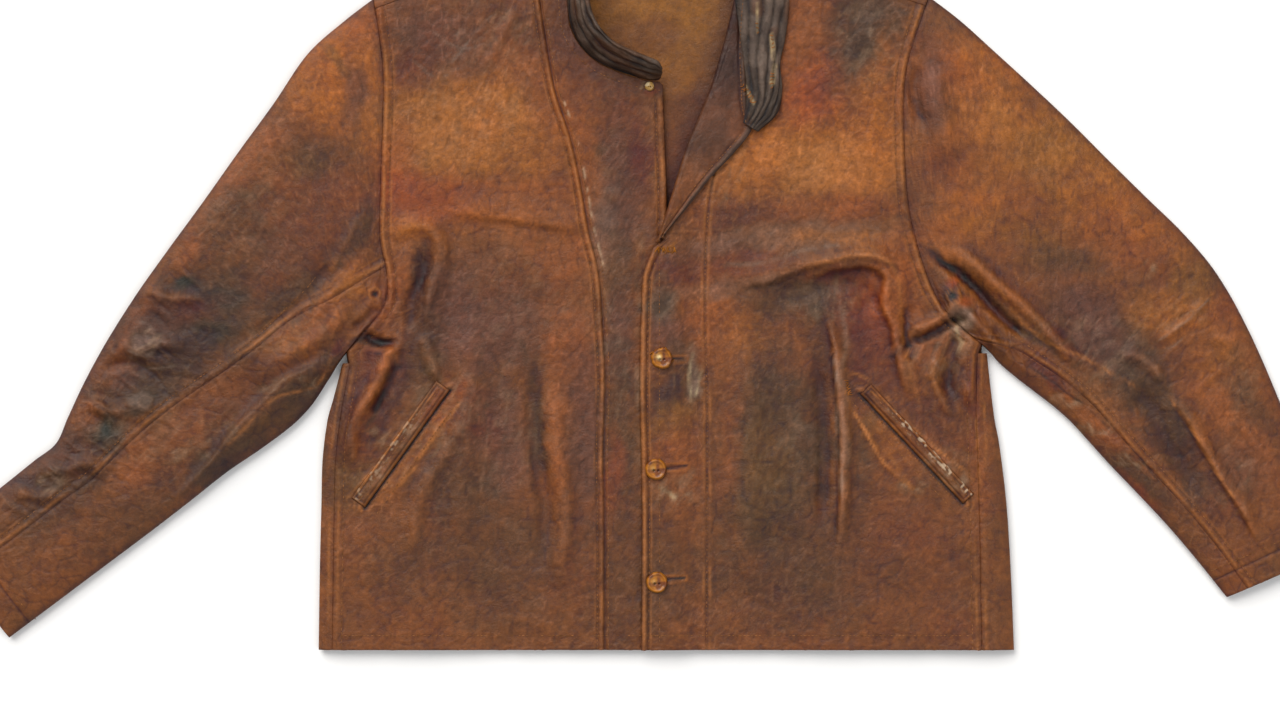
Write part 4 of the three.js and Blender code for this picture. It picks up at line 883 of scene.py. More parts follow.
# Outline lines
OUTLINE_STEPS = 40
CURVES = {
    "side_right": smooth_line(SIDE_RIGHT),
    "side_left": smooth_line(SIDE_LEFT),
    "seam_right": smooth_line(SEAM_RIGHT),
    "seam_left": smooth_line(SEAM_LEFT),
    "front_right": smooth_line(FRONT_EDGE_RIGHT),
    "front_left": smooth_line(FRONT_EDGE_LEFT),
    "neck_right": smooth_line(NECK_RIGHT),
    "armhole_right": smooth_line(ARMHOLE_RIGHT),
    "armhole_left": smooth_line(ARMHOLE_LEFT),
    "facing_right": smooth_line(FACING_SEAM_RIGHT),
    "facing_left": smooth_line(FACING_LINE_LEFT),
}
EDGE = {name: curve(shares(OUTLINE_STEPS)) for name, curve in CURVES.items()}
SHOULDER_EDGES = [
    np.array([ARMHOLE_RIGHT[0], NECK_POINT_RIGHT]),
    np.array([ARMHOLE_LEFT[0], NECK_POINT_LEFT]),
]


# Relief of the leather
def crease_lines():
    lines = []
    for _, breadth, height, kind, pixels in CREASES:
        corners = [spot(*pixel) for pixel in pixels]
        lines.append((smooth_line(corners)(shares(6 * len(corners))), breadth, height, kind))
    return lines


CREASE_LINES = crease_lines()
CREASE_STRENGTH = 1.4
CREASE_FADE = 0.22  # share of a crease over which it fades at each end
CREASE_REACH = 3.2  # how far a crease can be felt, in half breadths
SOFT_SIDE, STEEP_SIDE = 1.7, 0.5  # half breadths of a step's two sides


def crease_height(x, y):
    """What the creases add, in millimetres."""
    wx, wy = wandered(x, y, 2.4, 38, 0, 2)
    total = np.zeros(x.shape)
    for points, breadth, height, kind in CREASE_LINES:
        inside = box_about(wx, wy, points, CREASE_REACH * breadth)
        if not inside.any():
            continue
        far, side, share = near_line(wx[inside], wy[inside], points)
        taper = faded_ends(share, CREASE_FADE)
        wide = np.full(far.shape, float(breadth))
        if kind == "step":
            wide = np.where(side > 0, breadth * SOFT_SIDE, breadth * STEEP_SIDE)
        uneven = 0.8 + 0.4 * noise(wx[inside], wy[inside], 26, 1)
        total[inside] += CREASE_STRENGTH * height * taper * uneven * bump(far, 0, wide)
    return total


def wrinkle_height(x, y):
    """Small wrinkles: strong in the wrinkled areas, faint elsewhere."""
    wx, wy = wandered(x, y, 5, 26, 3, 1)
    total = 0.3 * rough(x, y, 12, 1) + 0.9 * rough(x, y, 46, 0, 2)
    total = total - 0.4 * cracks(wx, wy, 15, 0, 0.12) + 0.3 * cracks(wx + 3, wy, 11, 1, 0.12)
    total = total + 0.8 * rough(wx * 0.6, wy, 24, 3, 2) * blots(x, y, 90, 1, 0.35, 0.3)
    for px, py, half_x, half_y, angle, spacing, height in WRINKLES:
        cx, cy = spot(px, py)
        inside = box_about(x, y, [(cx, cy)], (half_x * 1.5, half_y * 1.5))
        if not inside.any():
            continue
        dx, dy = x[inside] - cx, y[inside] - cy
        window = smooth(1.4 - oval(dx, dy, half_x, half_y))
        along, across = turned_by(dx, dy, angle)
        across = across + 5 * rough(dx, dy, 30, 3, 2)
        folds = ridged(along / 3.2, across, spacing, 2)
        small = ridged(along / 2.4, across, spacing * 0.45, 3)
        total[inside] += window * height * (0.75 * (folds - 0.5) + 0.3 * (small - 0.5))
    return total


def relief(x, y):
    return crease_height(x, y) + wrinkle_height(x, y)


CHEST_HALF = 110.0  # from the middle to where the loft starts to rise towards the armholes
EDGE_RELIEF = 0.15  # how much of the relief reaches a folded edge
SLEEVE_EDGE_RELIEF = 0.2


def body_top(x, y):
    """Outer height of the body's front."""
    side = np.minimum(far_from(x, y, EDGE["side_right"]), far_from(x, y, EDGE["side_left"]))
    shoulder = np.minimum(*(far_from(x, y, line) for line in SHOULDER_EDGES))
    round_edge = arch(side / EDGE_OVER) * arch(shoulder / EDGE_OVER)
    calm = smooth(np.minimum(side, shoulder) / EDGE_OVER)
    loft = mix(BODY_LOFT, ARMHOLE_LOFT, smooth((np.abs(x) - CHEST_HALF) / CHEST_HALF))
    height = EDGE_HEIGHT + (loft - EDGE_HEIGHT) * round_edge + relief(x, y) * mix(EDGE_RELIEF, 1, calm)
    return np.maximum(height, mix(EDGE_HEIGHT, LEAST_LOFT, calm))


def left_lift(x, y):
    """How much the left front is raised where it lies on the right one."""
    across = 1 - smooth((x - line_x(EDGE["front_right"], y) - HIDE_BEND) / OVERLAP)
    along = 1 - smooth((y - OVERLAP_TOP) / OVERLAP_FADE)
    return OVERLAP_LIFT * across * along


def seam_dip(far, deep=0.6, ridge=0.8, at=RIDGE, row=STITCH_ROW):
    """How leather sinks into a seam, swells beside it and dips under its row of stitches."""
    sunk = deep * bump(far, 0, GROOVE_BREADTH)
    return ridge * bump(far, at, RIDGE_BREADTH) - sunk - 0.55 * ridge * bump(far, row, ROW_BREADTH)


def pit_spots(x, y):
    """For each small pit: the distance from it, its radius and its depth."""
    for px, py, radius, depth in PITS:
        cx, cy = spot(px, py)
        yield np.hypot(x - cx, y - cy), radius, depth


def pits_height(x, y):
    return sum(
        0.8 * bump(far, radius + 1.6, 1.3) - depth * bump(far, 0, radius * 0.7)
        for far, radius, depth in pit_spots(x, y)
    )


def slit_far(x, y, pocket):
    """The distance from a pocket's slit, and whether a place is on the welt's side of it."""
    _, top, low, out, _ = pocket
    far, side, _ = near_line(x, y, np.array([top, low]))
    return far, side * out > 0


BUTTONHOLE_LINES = [(np.array([spot(a, b), spot(c, d)]), wide) for a, b, c, d, wide in BUTTONHOLES]


def openings_height(x, y):
    """Pocket slits, buttonholes and pits pressed into the fronts."""
    total = pits_height(x, y)
    for pocket in POCKETS:
        far, welt_side = slit_far(x, y, pocket)
        total -= 1.6 * bump(far, 0.4, 1.5)
        total += np.where(welt_side, 0.8 * bump(far, 4.2, 2.0) - 0.5 * bump(far, 8.0, 1.0), 0.0)
    for line, wide in BUTTONHOLE_LINES:
        far = far_from(x, y, line)
        total += 0.7 * bump(far, 3.0, 1.4) - 1.3 * bump(far, 0, wide * 0.7)
    return total


# Colour of the leather at each point
def linear(tone):
    """A named tone as linear red, green and blue."""
    c = np.asarray(TONES[tone], float) / 255
    return np.where(c <= 0.04045, c / 12.92, ((c + 0.055) / 1.055) ** 2.4)


def toned(colour, tone, weight):
    """A colour mixed with a named tone, by a weight at each point."""
    return mix(colour, linear(tone), weight[..., None])


def darker(colour, weight):
    return colour * (1 - weight)[..., None]


def seam_tint(colour, x, y, far, at=RIDGE, row=STITCH_ROW, rub=0.65, groove=0.4):
    """A seam's dark groove, its rubbed ridge and the row of stitches beside it."""
    patchy = rub * blots(x, y, 22, 2, 0.15, 0.6)
    uneven = groove * (0.5 + 0.8 * noise(x, y, 16, 0))
    colour = darker(colour, uneven * bump(far, 0, 1.3) + 0.5 * uneven * bump(far, row, 1.0))
    colour = toned(colour, "seam", patchy * bump(far, at, 1.5))
    return toned(colour, "seam", 0.5 * patchy * bump(far, row + 1.7, 0.9))


def ridge_on(shown, far):
    """A distance from a seam where its ridge shows; elsewhere one that leaves only the groove."""
    return np.where(shown, far, RIDGE_OFF - (RIDGE_OFF - 1) * bump(far, 0, 2))


def openings_tint(colour, x, y):
    for pocket in POCKETS:
        far, welt_side = slit_far(x, y, pocket)
        # Painted shade in the pocket's slit, and rubbed leather on the welt's side of it
        colour = darker(colour, 0.85 * bump(far, 0.4, 1.7))
        rub = np.where(welt_side, bump(far, 4.2, 1.6) + 0.6 * bump(far, 9.2, 0.9), 0.0)
        colour = toned(colour, "seam", clamp(0.8 * rub * (0.3 + 0.6 * noise(x, y, 14, 1))))
    for line, wide in BUTTONHOLE_LINES:
        far = far_from(x, y, line)
        # Amber edges round each buttonhole, and painted shade in its slit
        colour = toned(colour, "amber", 0.55 * bump(far, 2.9, 1.1))
        colour = darker(colour, 0.9 * bump(far, 0, wide * 0.8))
    for far, radius, _ in pit_spots(x, y):
        # A rubbed rim round each pit, and painted shade inside it
        colour = toned(colour, "seam", 0.4 * bump(far, radius + 1.6, 1.1))
        colour = darker(colour, 0.85 * bump(far, 0, radius * 0.8))
    return colour


def painted(x, y):
    """The leather's colour with its soft patches, as linear red, green and blue."""
    colour = np.broadcast_to(linear(BASE_TONE), x.shape + (3,)).copy()
    wx = x + 9 * rough(x, y, 48, 0) + 5 * rough(x, y, 14, 2)
    wy = y + 9 * rough(x, y, 48, 2) + 5 * rough(x, y, 14, 1)
    for px, py, half_x, half_y, angle, tone, strength in PATCHES:
        cx, cy = spot(px, py)
        inside = box_about(wx, wy, [(cx, cy)], 1.9 * max(half_x, half_y) * PHOTO_PIXEL)
        if not inside.any():
            continue
        far = oval(*turned_by(wx[inside] - cx, wy[inside] - cy, angle), half_x, half_y)
        ragged = 0.35 * rough(x[inside], y[inside], 11, 3, 2)
        weight = strength * smooth((1.55 - far + ragged) / 1.2)
        colour[inside] = toned(colour[inside], tone, clamp(weight))
    return lined(scuffed_and_sheened(weathered(colour, x, y), x, y), x, y)


def weathered(colour, x, y):
    """Mottling, fine brushed streaks, and the pale creases and dark cracks that net over old leather."""
    wx, wy = wandered(x, y, 5, 26, 3, 1)
    mottle = 1 + 0.18 * rough(x, y, 34, 1) + 0.2 * rough(x, y, 9, 3) + 0.12 * rough(x, y, 4.5, 2, 1)
    mottle = mottle + 0.2 * (noise(x, y / 5, 3.6, 0) - 0.5) + 0.14 * (noise(x / 5, y, 3.6, 2) - 0.5)
    warm = 0.1 * rough(x, y, 42, 0)
    colour = colour * mottle[..., None] * (1 + warm[..., None] * np.array([1.0, -0.1, -0.8]))
    area = blots(x, y, 70, 2, 0.3, 0.35)
    broken = blots(x, y, 12, 1, 0.35, 0.3)
    dark = cracks(wx, wy, 15, 0, 0.07) * (1 - area) * broken + 0.7 * cracks(wx, wy, 6.5, 2, 0.12) * area
    pale = cracks(wx + 3, wy, 11, 1, 0.08) * area * (1 - broken)
    colour = darker(colour, 0.26 * clamp(dark))
    return mix(colour, colour * 1.4 + 0.02, 0.5 * clamp(pale)[..., None])


def scuffed_and_sheened(colour, x, y):
    for px, py, half_x, half_y, angle, strength in SCUFFS_AND_SHEEN:
        cx, cy = spot(px, py)
        inside = box_about(x, y, [(cx, cy)], (1.6 * half_x, 1.6 * half_y))
        if not inside.any():
            continue
        dx, dy = x[inside] - cx, y[inside] - cy
        along, across = turned_by(dx, dy, angle)
        bent = across + 2.5 * rough(along, across, 24, 1, 2)
        streaks = ridged(along / 6 + px, bent, 5.5, 1, 5) + 0.7 * ridged(along / 3 + py, bent, 3.2, 2, 4)
        window = smooth(1.5 - oval(dx, dy, half_x, half_y))
        weight = clamp(strength * window * streaks * blots(along, across, 9, 3, 0.3, 0.4))
        # Pale streaks: partly real scuffs, partly painted sheen
        colour[inside] = toned(colour[inside], "scuff and sheen", 0.42 * weight)
    return colour


WIDE_BLUR, FINE_BLUR = 14, 3  # passes that take out the broad and the fine folds
# Most painted shade in hollows, and most lightening of ridges by rub and painted highlight
MOST_SHADE, MOST_RUB = 0.7, 0.6


def blurred(z, times):
    for _ in range(times):
        wide = np.pad(z, 1, mode="edge")
        beside = wide[:-2, 1:-1] + wide[2:, 1:-1] + wide[1:-1, :-2] + wide[1:-1, 2:]
        z = (wide[1:-1, 1:-1] * 2 + beside) / 6
    return z


def rubbed_and_shaded(colour, z):
    """Ridges are rubbed lighter, partly as painted highlight, and hollows get painted shade."""
    wide_rise, fine_rise = z - blurred(z, WIDE_BLUR), z - blurred(z, FINE_BLUR)
    shade = np.clip(0.15 * wide_rise + 0.4 * fine_rise, -MOST_SHADE, MOST_RUB)
    dark = np.where(shade < 0, 1 + shade, 1.0)[..., None]
    light = np.where(shade > 0, shade, 0.0)[..., None]
    return colour * dark * (1 + 0.7 * light) + light * linear("rubbed") * 0.2


LINE_FADE = 0.1  # share of a line over which it fades at each end
LINE_REACH = 4  # how far a line's colour can be seen, in half breadths


def lined(colour, x, y):
    """Adds the rubbed and the dark lines, broken up along their length."""
    wx, wy = wandered(x, y, 1.6, 17, 1, 3)
    for breadth, tone, strength, pixels in LINES:
        points = np.array([spot(*pixel) for pixel in pixels])
        inside = box_about(wx, wy, points, LINE_REACH * breadth)
        if not inside.any():
            continue
        curve = smooth_line(points)(shares(8 * len(points)))
        far, _, share = near_line(wx[inside], wy[inside], curve)
        ends = faded_ends(share, LINE_FADE)
        broken = 0.3 + 0.7 * blots(x[inside], y[inside], 7, 2, 0.3, 0.3)
        colour[inside] = toned(colour[inside], tone, strength * bump(far, 0, breadth) * ends * broken)
    return colour


def as_albedo(colour):
    """The colour that a surface must have for the studio to show it as wanted."""
    grey = colour.mean(axis=-1, keepdims=True)
    vivid = grey + VIVID * (colour - grey)
    return np.clip(vivid - np.array(GLOSS_LIFT), DARKEST, None) / LIGHT_GAIN


# Building pieces
LIP_STEPS = 4  # how many points in from its border a sheet's turned-under lip reaches


def grid_normals(points):
    normal = np.cross(np.gradient(points, axis=1), np.gradient(points, axis=0))
    return normal / np.maximum(np.linalg.norm(normal, axis=2, keepdims=True), 1e-9)


def grid_quads(rows, columns):
    i, j = np.meshgrid(np.arange(columns - 1), np.arange(rows - 1))
    a = (j * columns + i).ravel()
    return np.stack([a, a + 1, a + columns + 1, a + columns], axis=1)


def border(rows, columns):
    """Indices of a grid's border in order, and of the points a few steps in from each."""
    low = [(0, i) for i in range(columns - 1)]
    right = [(j, columns - 1) for j in range(rows - 1)]
    top = [(rows - 1, i) for i in range(columns - 1, 0, -1)]
    left = [(j, 0) for j in range(rows - 1, 0, -1)]
    ring = low + right + top + left

    def inward(k, count):
        return min(max(k, min(LIP_STEPS, count - 1)), max(count - 1 - LIP_STEPS, 0))

    inner = [inward(j, rows) * columns + inward(i, columns) for j, i in ring]
    return [j * columns + i for j, i in ring], inner


class Shell:
    """Collects grids of points into one mesh with a colour at each point."""

    def __init__(self):
        self.points, self.faces, self.colours, self.count = [], [], [], 0

    def grid(self, points, colours, thickness=0.0, turned=False, lip=True):
        """A sheet of leather. With a lip, its borders are turned under by its thickness."""
        rows, columns = points.shape[:2]
        flat, tint, faces = points.reshape(-1, 3), colours.reshape(-1, 3), grid_quads(rows, columns)
        pieces, tints, quads = [flat], [tint], [faces]
        if lip:
            normals = grid_normals(points) * (-1 if turned else 1)
            under = flat - normals.reshape(-1, 3) * thickness
            under[:, 2] = np.maximum(under[:, 2], 0.0)
            ring, inner = border(rows, columns)
            here = np.arange(len(ring))
            after = (here + 1) % len(ring)
            first, second = len(flat), len(flat) + len(ring)
            outer = np.array(ring)
            pieces += [under[ring], under[inner]]
            # The turned-under lip gets painted shade: 0.8 and 0.6 of the border's colour
            tints += [tint[ring] * 0.8, tint[ring] * 0.6]
            quads.append(np.stack([outer[after], outer[here], first + here, first + after], axis=1))
            quads.append(np.stack([first + after, first + here, second + here, second + after], axis=1))
        faces = np.concatenate(quads)
        self.faces.append((faces[:, ::-1] if turned else faces) + self.count)
        self.points += pieces
        self.colours += tints
        self.count += sum(len(piece) for piece in pieces)

    def build(self, name, material):
        points, faces = np.concatenate(self.points) * MM, np.concatenate(self.faces)
        corners = faces.shape[1]
        mesh = bpy.data.meshes.new(name)
        mesh.vertices.add(len(points))
        mesh.vertices.foreach_set("co", points.astype(np.float32).ravel())
        mesh.loops.add(faces.size)
        mesh.loops.foreach_set("vertex_index", faces.astype(np.int32).ravel())
        mesh.polygons.add(len(faces))
        mesh.polygons.foreach_set("loop_start", np.arange(0, faces.size, corners, dtype=np.int32))
        mesh.polygons.foreach_set("loop_total", np.full(len(faces), corners, dtype=np.int32))
        mesh.polygons.foreach_set("use_smooth", np.ones(len(faces), dtype=bool))
        mesh.update(calc_edges=True)
        tint = mesh.color_attributes.new("tint", "FLOAT_COLOR", "POINT")
        rgba = np.ones((len(points), 4), dtype=np.float32)
        rgba[:, :3] = np.clip(as_albedo(np.concatenate(self.colours)), 0.003, 1)
        tint.data.foreach_set("color", rgba.ravel())
        mesh.validate()
        piece = bpy.data.objects.new(name, mesh)
        bpy.context.scene.collection.objects.link(piece)
        piece.data.materials.append(material)
        return piece


def sheet(name, x, y, z, colour, thickness=HIDE, turned=False):
    """A piece made from one grid."""
    shell = Shell()
    shell.grid(np.dstack([x, y, z]), colour, thickness, turned)
    return shell.build(name, LEATHER)


def patch(low, top, left, right, us, vs):
    """Plan points of a patch between four lines: low and top run across, left and right run up."""
    u, v = us[None, :, None], vs[:, None, None]
    across = mix(low(us)[None], top(us)[None], v)
    up = mix(left(vs)[:, None], right(vs)[:, None], u)
    corners = mix(mix(low(0)[0], low(1)[0], u), mix(top(0)[0], top(1)[0], u), v)
    return across + up - corners


# Materials
def node(tree, kind, place, **inputs):
    made = tree.nodes.new(kind)
    made.location = place
    for name, value in inputs.items():
        made.inputs[name.replace("_", " ")].default_value = value
    return made


def leather(name, roughness, grain, shine):
    """Worn leather: its colour comes from the tint, broken up by fine mottling, cracks and grain."""
    material = bpy.data.materials.new(name)
    material.use_nodes = True
    tree = material.node_tree
    link = tree.links.new
    shader = tree.nodes["Principled BSDF"]
    shader.inputs["Specular IOR Level"].default_value = shine
    place = node(tree, "ShaderNodeTexCoord", (-1100, 0)).outputs["Object"]
    tint = node(tree, "ShaderNodeAttribute", (-900, 600))
    tint.attribute_name = "tint"

    def texture(kind, height, output, feature=None, **inputs):
        made = node(tree, "ShaderNodeTex" + kind, (-900, height), **inputs)
        if feature:
            made.feature = feature
        link(place, made.inputs["Vector"])
        return made.outputs[output]

    def ranged(source, height, **inputs):
        made = node(tree, "ShaderNodeMapRange", (-700, height), **inputs)
        link(source, made.inputs["Value"])
        return made.outputs["Result"]

    def bumped(source, height, strength, distance, below):
        made = node(tree, "ShaderNodeBump", (-300, height), Strength=strength * grain, Distance=distance)
        link(source, made.inputs["Height"])
        if below:
            link(below, made.inputs["Normal"])
        return made.outputs["Normal"]

    blotch = texture("Noise", 300, "Fac", Scale=190.0, Detail=6.0, Roughness=0.7)
    cells = texture("Voronoi", 0, "Distance", "DISTANCE_TO_EDGE", Scale=330.0)
    scars = texture("Noise", -600, "Fac", Scale=60.0, Detail=8.0, Roughness=0.75, Distortion=0.6)

    both = node(tree, "ShaderNodeMath", (-500, 200))
    both.operation = "MULTIPLY"
    link(ranged(blotch, 300, From_Min=0.3, From_Max=0.7, To_Min=0.72, To_Max=1.26), both.inputs[0])
    link(ranged(cells, 0, From_Min=0.0, From_Max=0.06, To_Min=0.8, To_Max=1.0), both.inputs[1])
    scale = node(tree, "ShaderNodeVectorMath", (-300, 200))
    scale.operation = "SCALE"
    link(tint.outputs["Color"], scale.inputs[0])
    link(both.outputs["Value"], scale.inputs["Scale"])
    link(scale.outputs["Vector"], shader.inputs["Base Color"])

    rough_range = {"To_Min": roughness - 0.12, "To_Max": roughness + 0.14}
    link(ranged(scars, -500, From_Min=0.3, From_Max=0.7, **rough_range), shader.inputs["Roughness"])
    normal = None
    for source, height, strength, distance in (
        (scars, -600, 0.5, 0.003),
        (blotch, -400, 0.6, 0.0012),
        (cells, -200, 0.5, 0.0004),
    ):
        normal = bumped(source, height, strength, distance, normal)
    link(normal, shader.inputs["Normal"])
    return material


LEATHER = leather("worn_leather", roughness=0.5, grain=1.0, shine=0.42)
COLLAR_LEATHER = leather("collar_leather", roughness=0.48, grain=1.2, shine=0.4)
THREAD = leather("thread", roughness=0.7, grain=0.3, shine=0.2)
HORN = leather("horn", roughness=0.34, grain=0.25, shine=0.5)


# Body. A panel's rows run up it and its columns lie across, on each side of its facing's line.
PANEL_ROWS = 305
BELOW_NECK = 0.74  # share of the right front's edge below its neckline
BELOW_LAPEL = 0.56  # share of the left front's edge below the lapel
CHEST_COLUMNS = 110
FACING_COLUMNS = 30
SIDE_DIP = {"deep": 0.1, "ridge": 0.3, "row": NO_ROW}  # the soft side and shoulder seams
FAINT = {"row": NO_ROW, "rub": 0.4, "groove": 0.12}  # and their colour


def outer_edge(side, armhole, upto=SHOULDER_SHARE):
    return joined((side, SIDE_PORTION), (stretch(armhole, ARMPIT_SHARE, upto), 1 - SIDE_PORTION))


def panel_plan(lines, columns):
    """A grid across several lines that run up, with closer points beside each line."""
    blocks = []
    vs = dense_ends(PANEL_ROWS, PANEL_ROWS * STEP)
    for k, (left, right) in enumerate(zip(lines, lines[1:])):
        us = dense_ends(columns[k], columns[k] * STEP)
        low = straight(left(0)[0], right(0)[0])
        top = straight(left(1)[0], right(1)[0])
        block = patch(low, top, left, right, us, vs)
        blocks.append(block if k == 0 else block[:, 1:])
    return np.concatenate(blocks, axis=1)


def build_front_right():
    facing = CURVES["facing_right"]
    edge = joined((CURVES["front_right"], BELOW_NECK), (CURVES["neck_right"], 1 - BELOW_NECK))
    inner = joined((stretch(facing, 0, 0.72), BELOW_NECK), (stretch(facing, 0.72, 1), 1 - BELOW_NECK))
    outer = outer_edge(CURVES["seam_right"], CURVES["armhole_right"])
    x, y = parted(panel_plan([outer, inner, edge], [CHEST_COLUMNS, FACING_COLUMNS]))
    armhole_far = far_from(x, y, EDGE["armhole_right"])
    side_far = far_from(x, y, EDGE["seam_right"])
    facing_far = far_from(x, y, inner(shares(60)))
    rim = far_from(x, y, edge(shares(90)))
    collar_far = far_from(x, y, EDGE["neck_right"])
    below_collar = smooth((collar_far - 5) / 12)
    outside = x < line_x(np.array(FACING_SEAM_RIGHT, float), y)

    z = body_top(x, y) + seam_dip(armhole_far) + seam_dip(side_far, at=4.0, **SIDE_DIP)
    z = z + seam_dip(np.where(outside, facing_far, facing_far + RIDGE_OFF), 0, 1.1, 3.2, 7.0)
    z = z - 1.2 * bump(facing_far, 0, 1.3)
    z = z + (0.9 * bump(rim, 3.5, 2.6) - 0.9 * bump(rim, 7.6, 1.1) - 0.8 * bump(rim, 0, 0.9)) * below_collar
    z = z + openings_height(x, y)

    colour = seam_tint(rubbed_and_shaded(painted(x, y), z), x, y, armhole_far, 3.2)
    colour = seam_tint(colour, x, y, side_far, 4.0, NO_ROW, 0.3, 0.12)
    colour = seam_tint(colour, x, y, ridge_on(outside, facing_far), 3.0, 7.0, 0.7)
    colour = seam_tint(colour, x, y, rim + 1.2 + 60 * (1 - below_collar), 4.6, 8.8, 0.7)
    shadow = (1 - smooth(collar_far / 34)) * (0.7 + 0.3 * noise(x, y, 12, 1))
    colour = toned(colour, "collar shadow", 0.62 * shadow)
    # Pale flecks beside the facing seam: painted glints
    glint_flecks = bump(np.where(outside, FAR_OFF, facing_far), 4.6, 1.2) * blots(x, y, 4.5, 3, 0.55, 0.2)
    glint_flecks = glint_flecks * smooth((y - 40) / 40) * smooth((250 - y) / 20)
    colour = toned(colour, "fleck", 0.55 * clamp(glint_flecks))
    return sheet("leather_front_right", x, y, z, openings_tint(colour, x, y))


def build_front_left():
    roll = smooth_line([(row[0] + ROLL_INSET, row[1]) for row in LAPEL])
    neck_point = (NECK_POINT_LEFT[0], NECK_POINT_LEFT[1] - SHOULDER_DROP)
    above = straight(roll(1)[0], neck_point)
    edge = joined((CURVES["front_left"], BELOW_LAPEL), (roll, 0.36), (above, 0.64 - BELOW_LAPEL))
    facing = CURVES["facing_left"]
    inner = joined((stretch(facing, 0, 0.58), BELOW_LAPEL), (stretch(facing, 0.58, 1), 1 - BELOW_LAPEL))
    outer = outer_edge(CURVES["seam_left"], CURVES["armhole_left"])
    x, y = parted(panel_plan([edge, inner, outer], [FACING_COLUMNS, CHEST_COLUMNS + 8]))
    armhole_far = far_from(x, y, EDGE["armhole_left"])
    side_far = far_from(x, y, EDGE["seam_left"])
    facing_far = far_from(x, y, inner(shares(60)))
    rim = far_from(x, y, CURVES["front_left"](shares(60)))

    z = body_top(x, y) + left_lift(x, y) + seam_dip(armhole_far) + seam_dip(side_far, at=4.0, **SIDE_DIP)
    z = z + seam_dip(facing_far, 0.4, 0.3, 3.0, NO_ROW)
    z = z + 1.1 * bump(rim, 3.0, 2.3) - 0.9 * bump(rim, 7.0, 1.1) - 0.7 * bump(rim, 0, 0.9)
    z = z + openings_height(x, y)

    colour = seam_tint(rubbed_and_shaded(painted(x, y), z), x, y, armhole_far, 3.2)
    colour = seam_tint(colour, x, y, side_far, at=4.0, **FAINT)
    colour = seam_tint(colour, x, y, facing_far, 2.6, NO_ROW, 0.4, 0.3)
    colour = seam_tint(colour, x, y, rim + 1.0, 3.8, 8.0, 0.75)
    return sheet("leather_front_left", x, y, z, openings_tint(colour, x, y))


NECK_RIGHT_BEHIND = np.array([NECK_POINT_RIGHT[0], NECK_POINT_RIGHT[1] - EDGE_UNDER])
NECK_LEFT_BEHIND = np.array([NECK_POINT_LEFT[0], NECK_POINT_LEFT[1] - EDGE_UNDER])
INSIDE_RIGHT = (-90, 70)
INSIDE_LEFT = (150, 70)
LAPEL_ROLL = [(667, 230), (700, 130), (735, 0)]  # in photo pixels


def back_neckline(t):
    line = straight(NECK_RIGHT_BEHIND, NECK_LEFT_BEHIND)(t)
    line[:, 1] -= NECK_BACK_DIP * (1 - (2 * np.atleast_1d(t) - 1) ** 4)
    return line


def add_flat_back(shell):
    """The part of the back that lies on the surface."""
    under = SHOULDER_SHARE / 2
    right = outer_edge(moved(CURVES["side_right"], EDGE_UNDER), CURVES["armhole_right"], under)
    left = outer_edge(moved(CURVES["side_left"], -EDGE_UNDER), CURVES["armhole_left"], under)
    top = joined(
        (straight(right(1)[0], NECK_RIGHT_BEHIND), 0.31),
        (back_neckline, 0.38),
        (straight(NECK_LEFT_BEHIND, left(1)[0]), 0.31),
    )
    x, y = parted(patch(straight(right(0)[0], left(0)[0]), top, right, left, shares(120), shares(130)))
    shell.grid(np.dstack([x, y, np.zeros(x.shape)]), painted(x, y), HIDE, turned=True)


def add_inside_back(shell):
    """The suede inside of the back, which shows in the neck opening."""
    x, y = parted(
        patch(
            straight(INSIDE_RIGHT, INSIDE_LEFT),
            back_neckline,
            straight(INSIDE_RIGHT, NECK_RIGHT_BEHIND),
            straight(INSIDE_LEFT, NECK_LEFT_BEHIND),
            shares(130),
            shares(170),
        )
    )
    z = HIDE + 0.3 + 0.5 * rough(x, y, 26, 1) + 0.2 * rough(x, y, 8, 2)
    colour = toned(linear("inside low"), "inside high", smooth((y - 170) / 130))
    colour = toned(colour, "inside stain", 0.45 * blots(x, y, 34, 1, 0.45, 0.3))
    shadow = smooth(far_from(x, y, np.array([spot(*pixel) for pixel in LAPEL_ROLL])) / 26)
    colour = colour * (0.55 + 0.45 * shadow)[..., None]
    colour = colour * (1 + 0.22 * rough(x, y, 10, 2) + 0.14 * rough(x, y, 4.5, 0, 2))[..., None]
    shell.grid(np.dstack([x, y, z]), colour, lip=False)


def add_strip(shell, start, folds, seams, seam_line, turned):
    """Leather round a folded edge, from the flat panel to its seam above."""
    rise = np.linspace(0, 1, 9)[:, None, None] * (math.pi / 2)
    below = mix(start[None], folds[None], np.sin(rise))
    low_z = EDGE_HEIGHT * (1 - np.cos(rise[..., 0])) + 0 * below[..., 0]
    above = mix(folds[None], seams[None], np.linspace(0, 1, 22)[1:, None, None] ** 1.4)
    x, y = parted(above)
    far = far_from(x, y, seam_line)
    z = np.concatenate([low_z, body_top(x, y) + seam_dip(far, at=4.2, **SIDE_DIP)])
    x, y = parted(np.concatenate([below, above]))
    colour = rubbed_and_shaded(painted(x, y), z)
    seam_far = np.concatenate([np.full(low_z.shape, FAR_OFF), far])
    colour = seam_tint(colour, x, y, seam_far, at=4.2, **FAINT)
    shell.grid(np.dstack([x, y, z]), colour, HIDE, turned=turned)


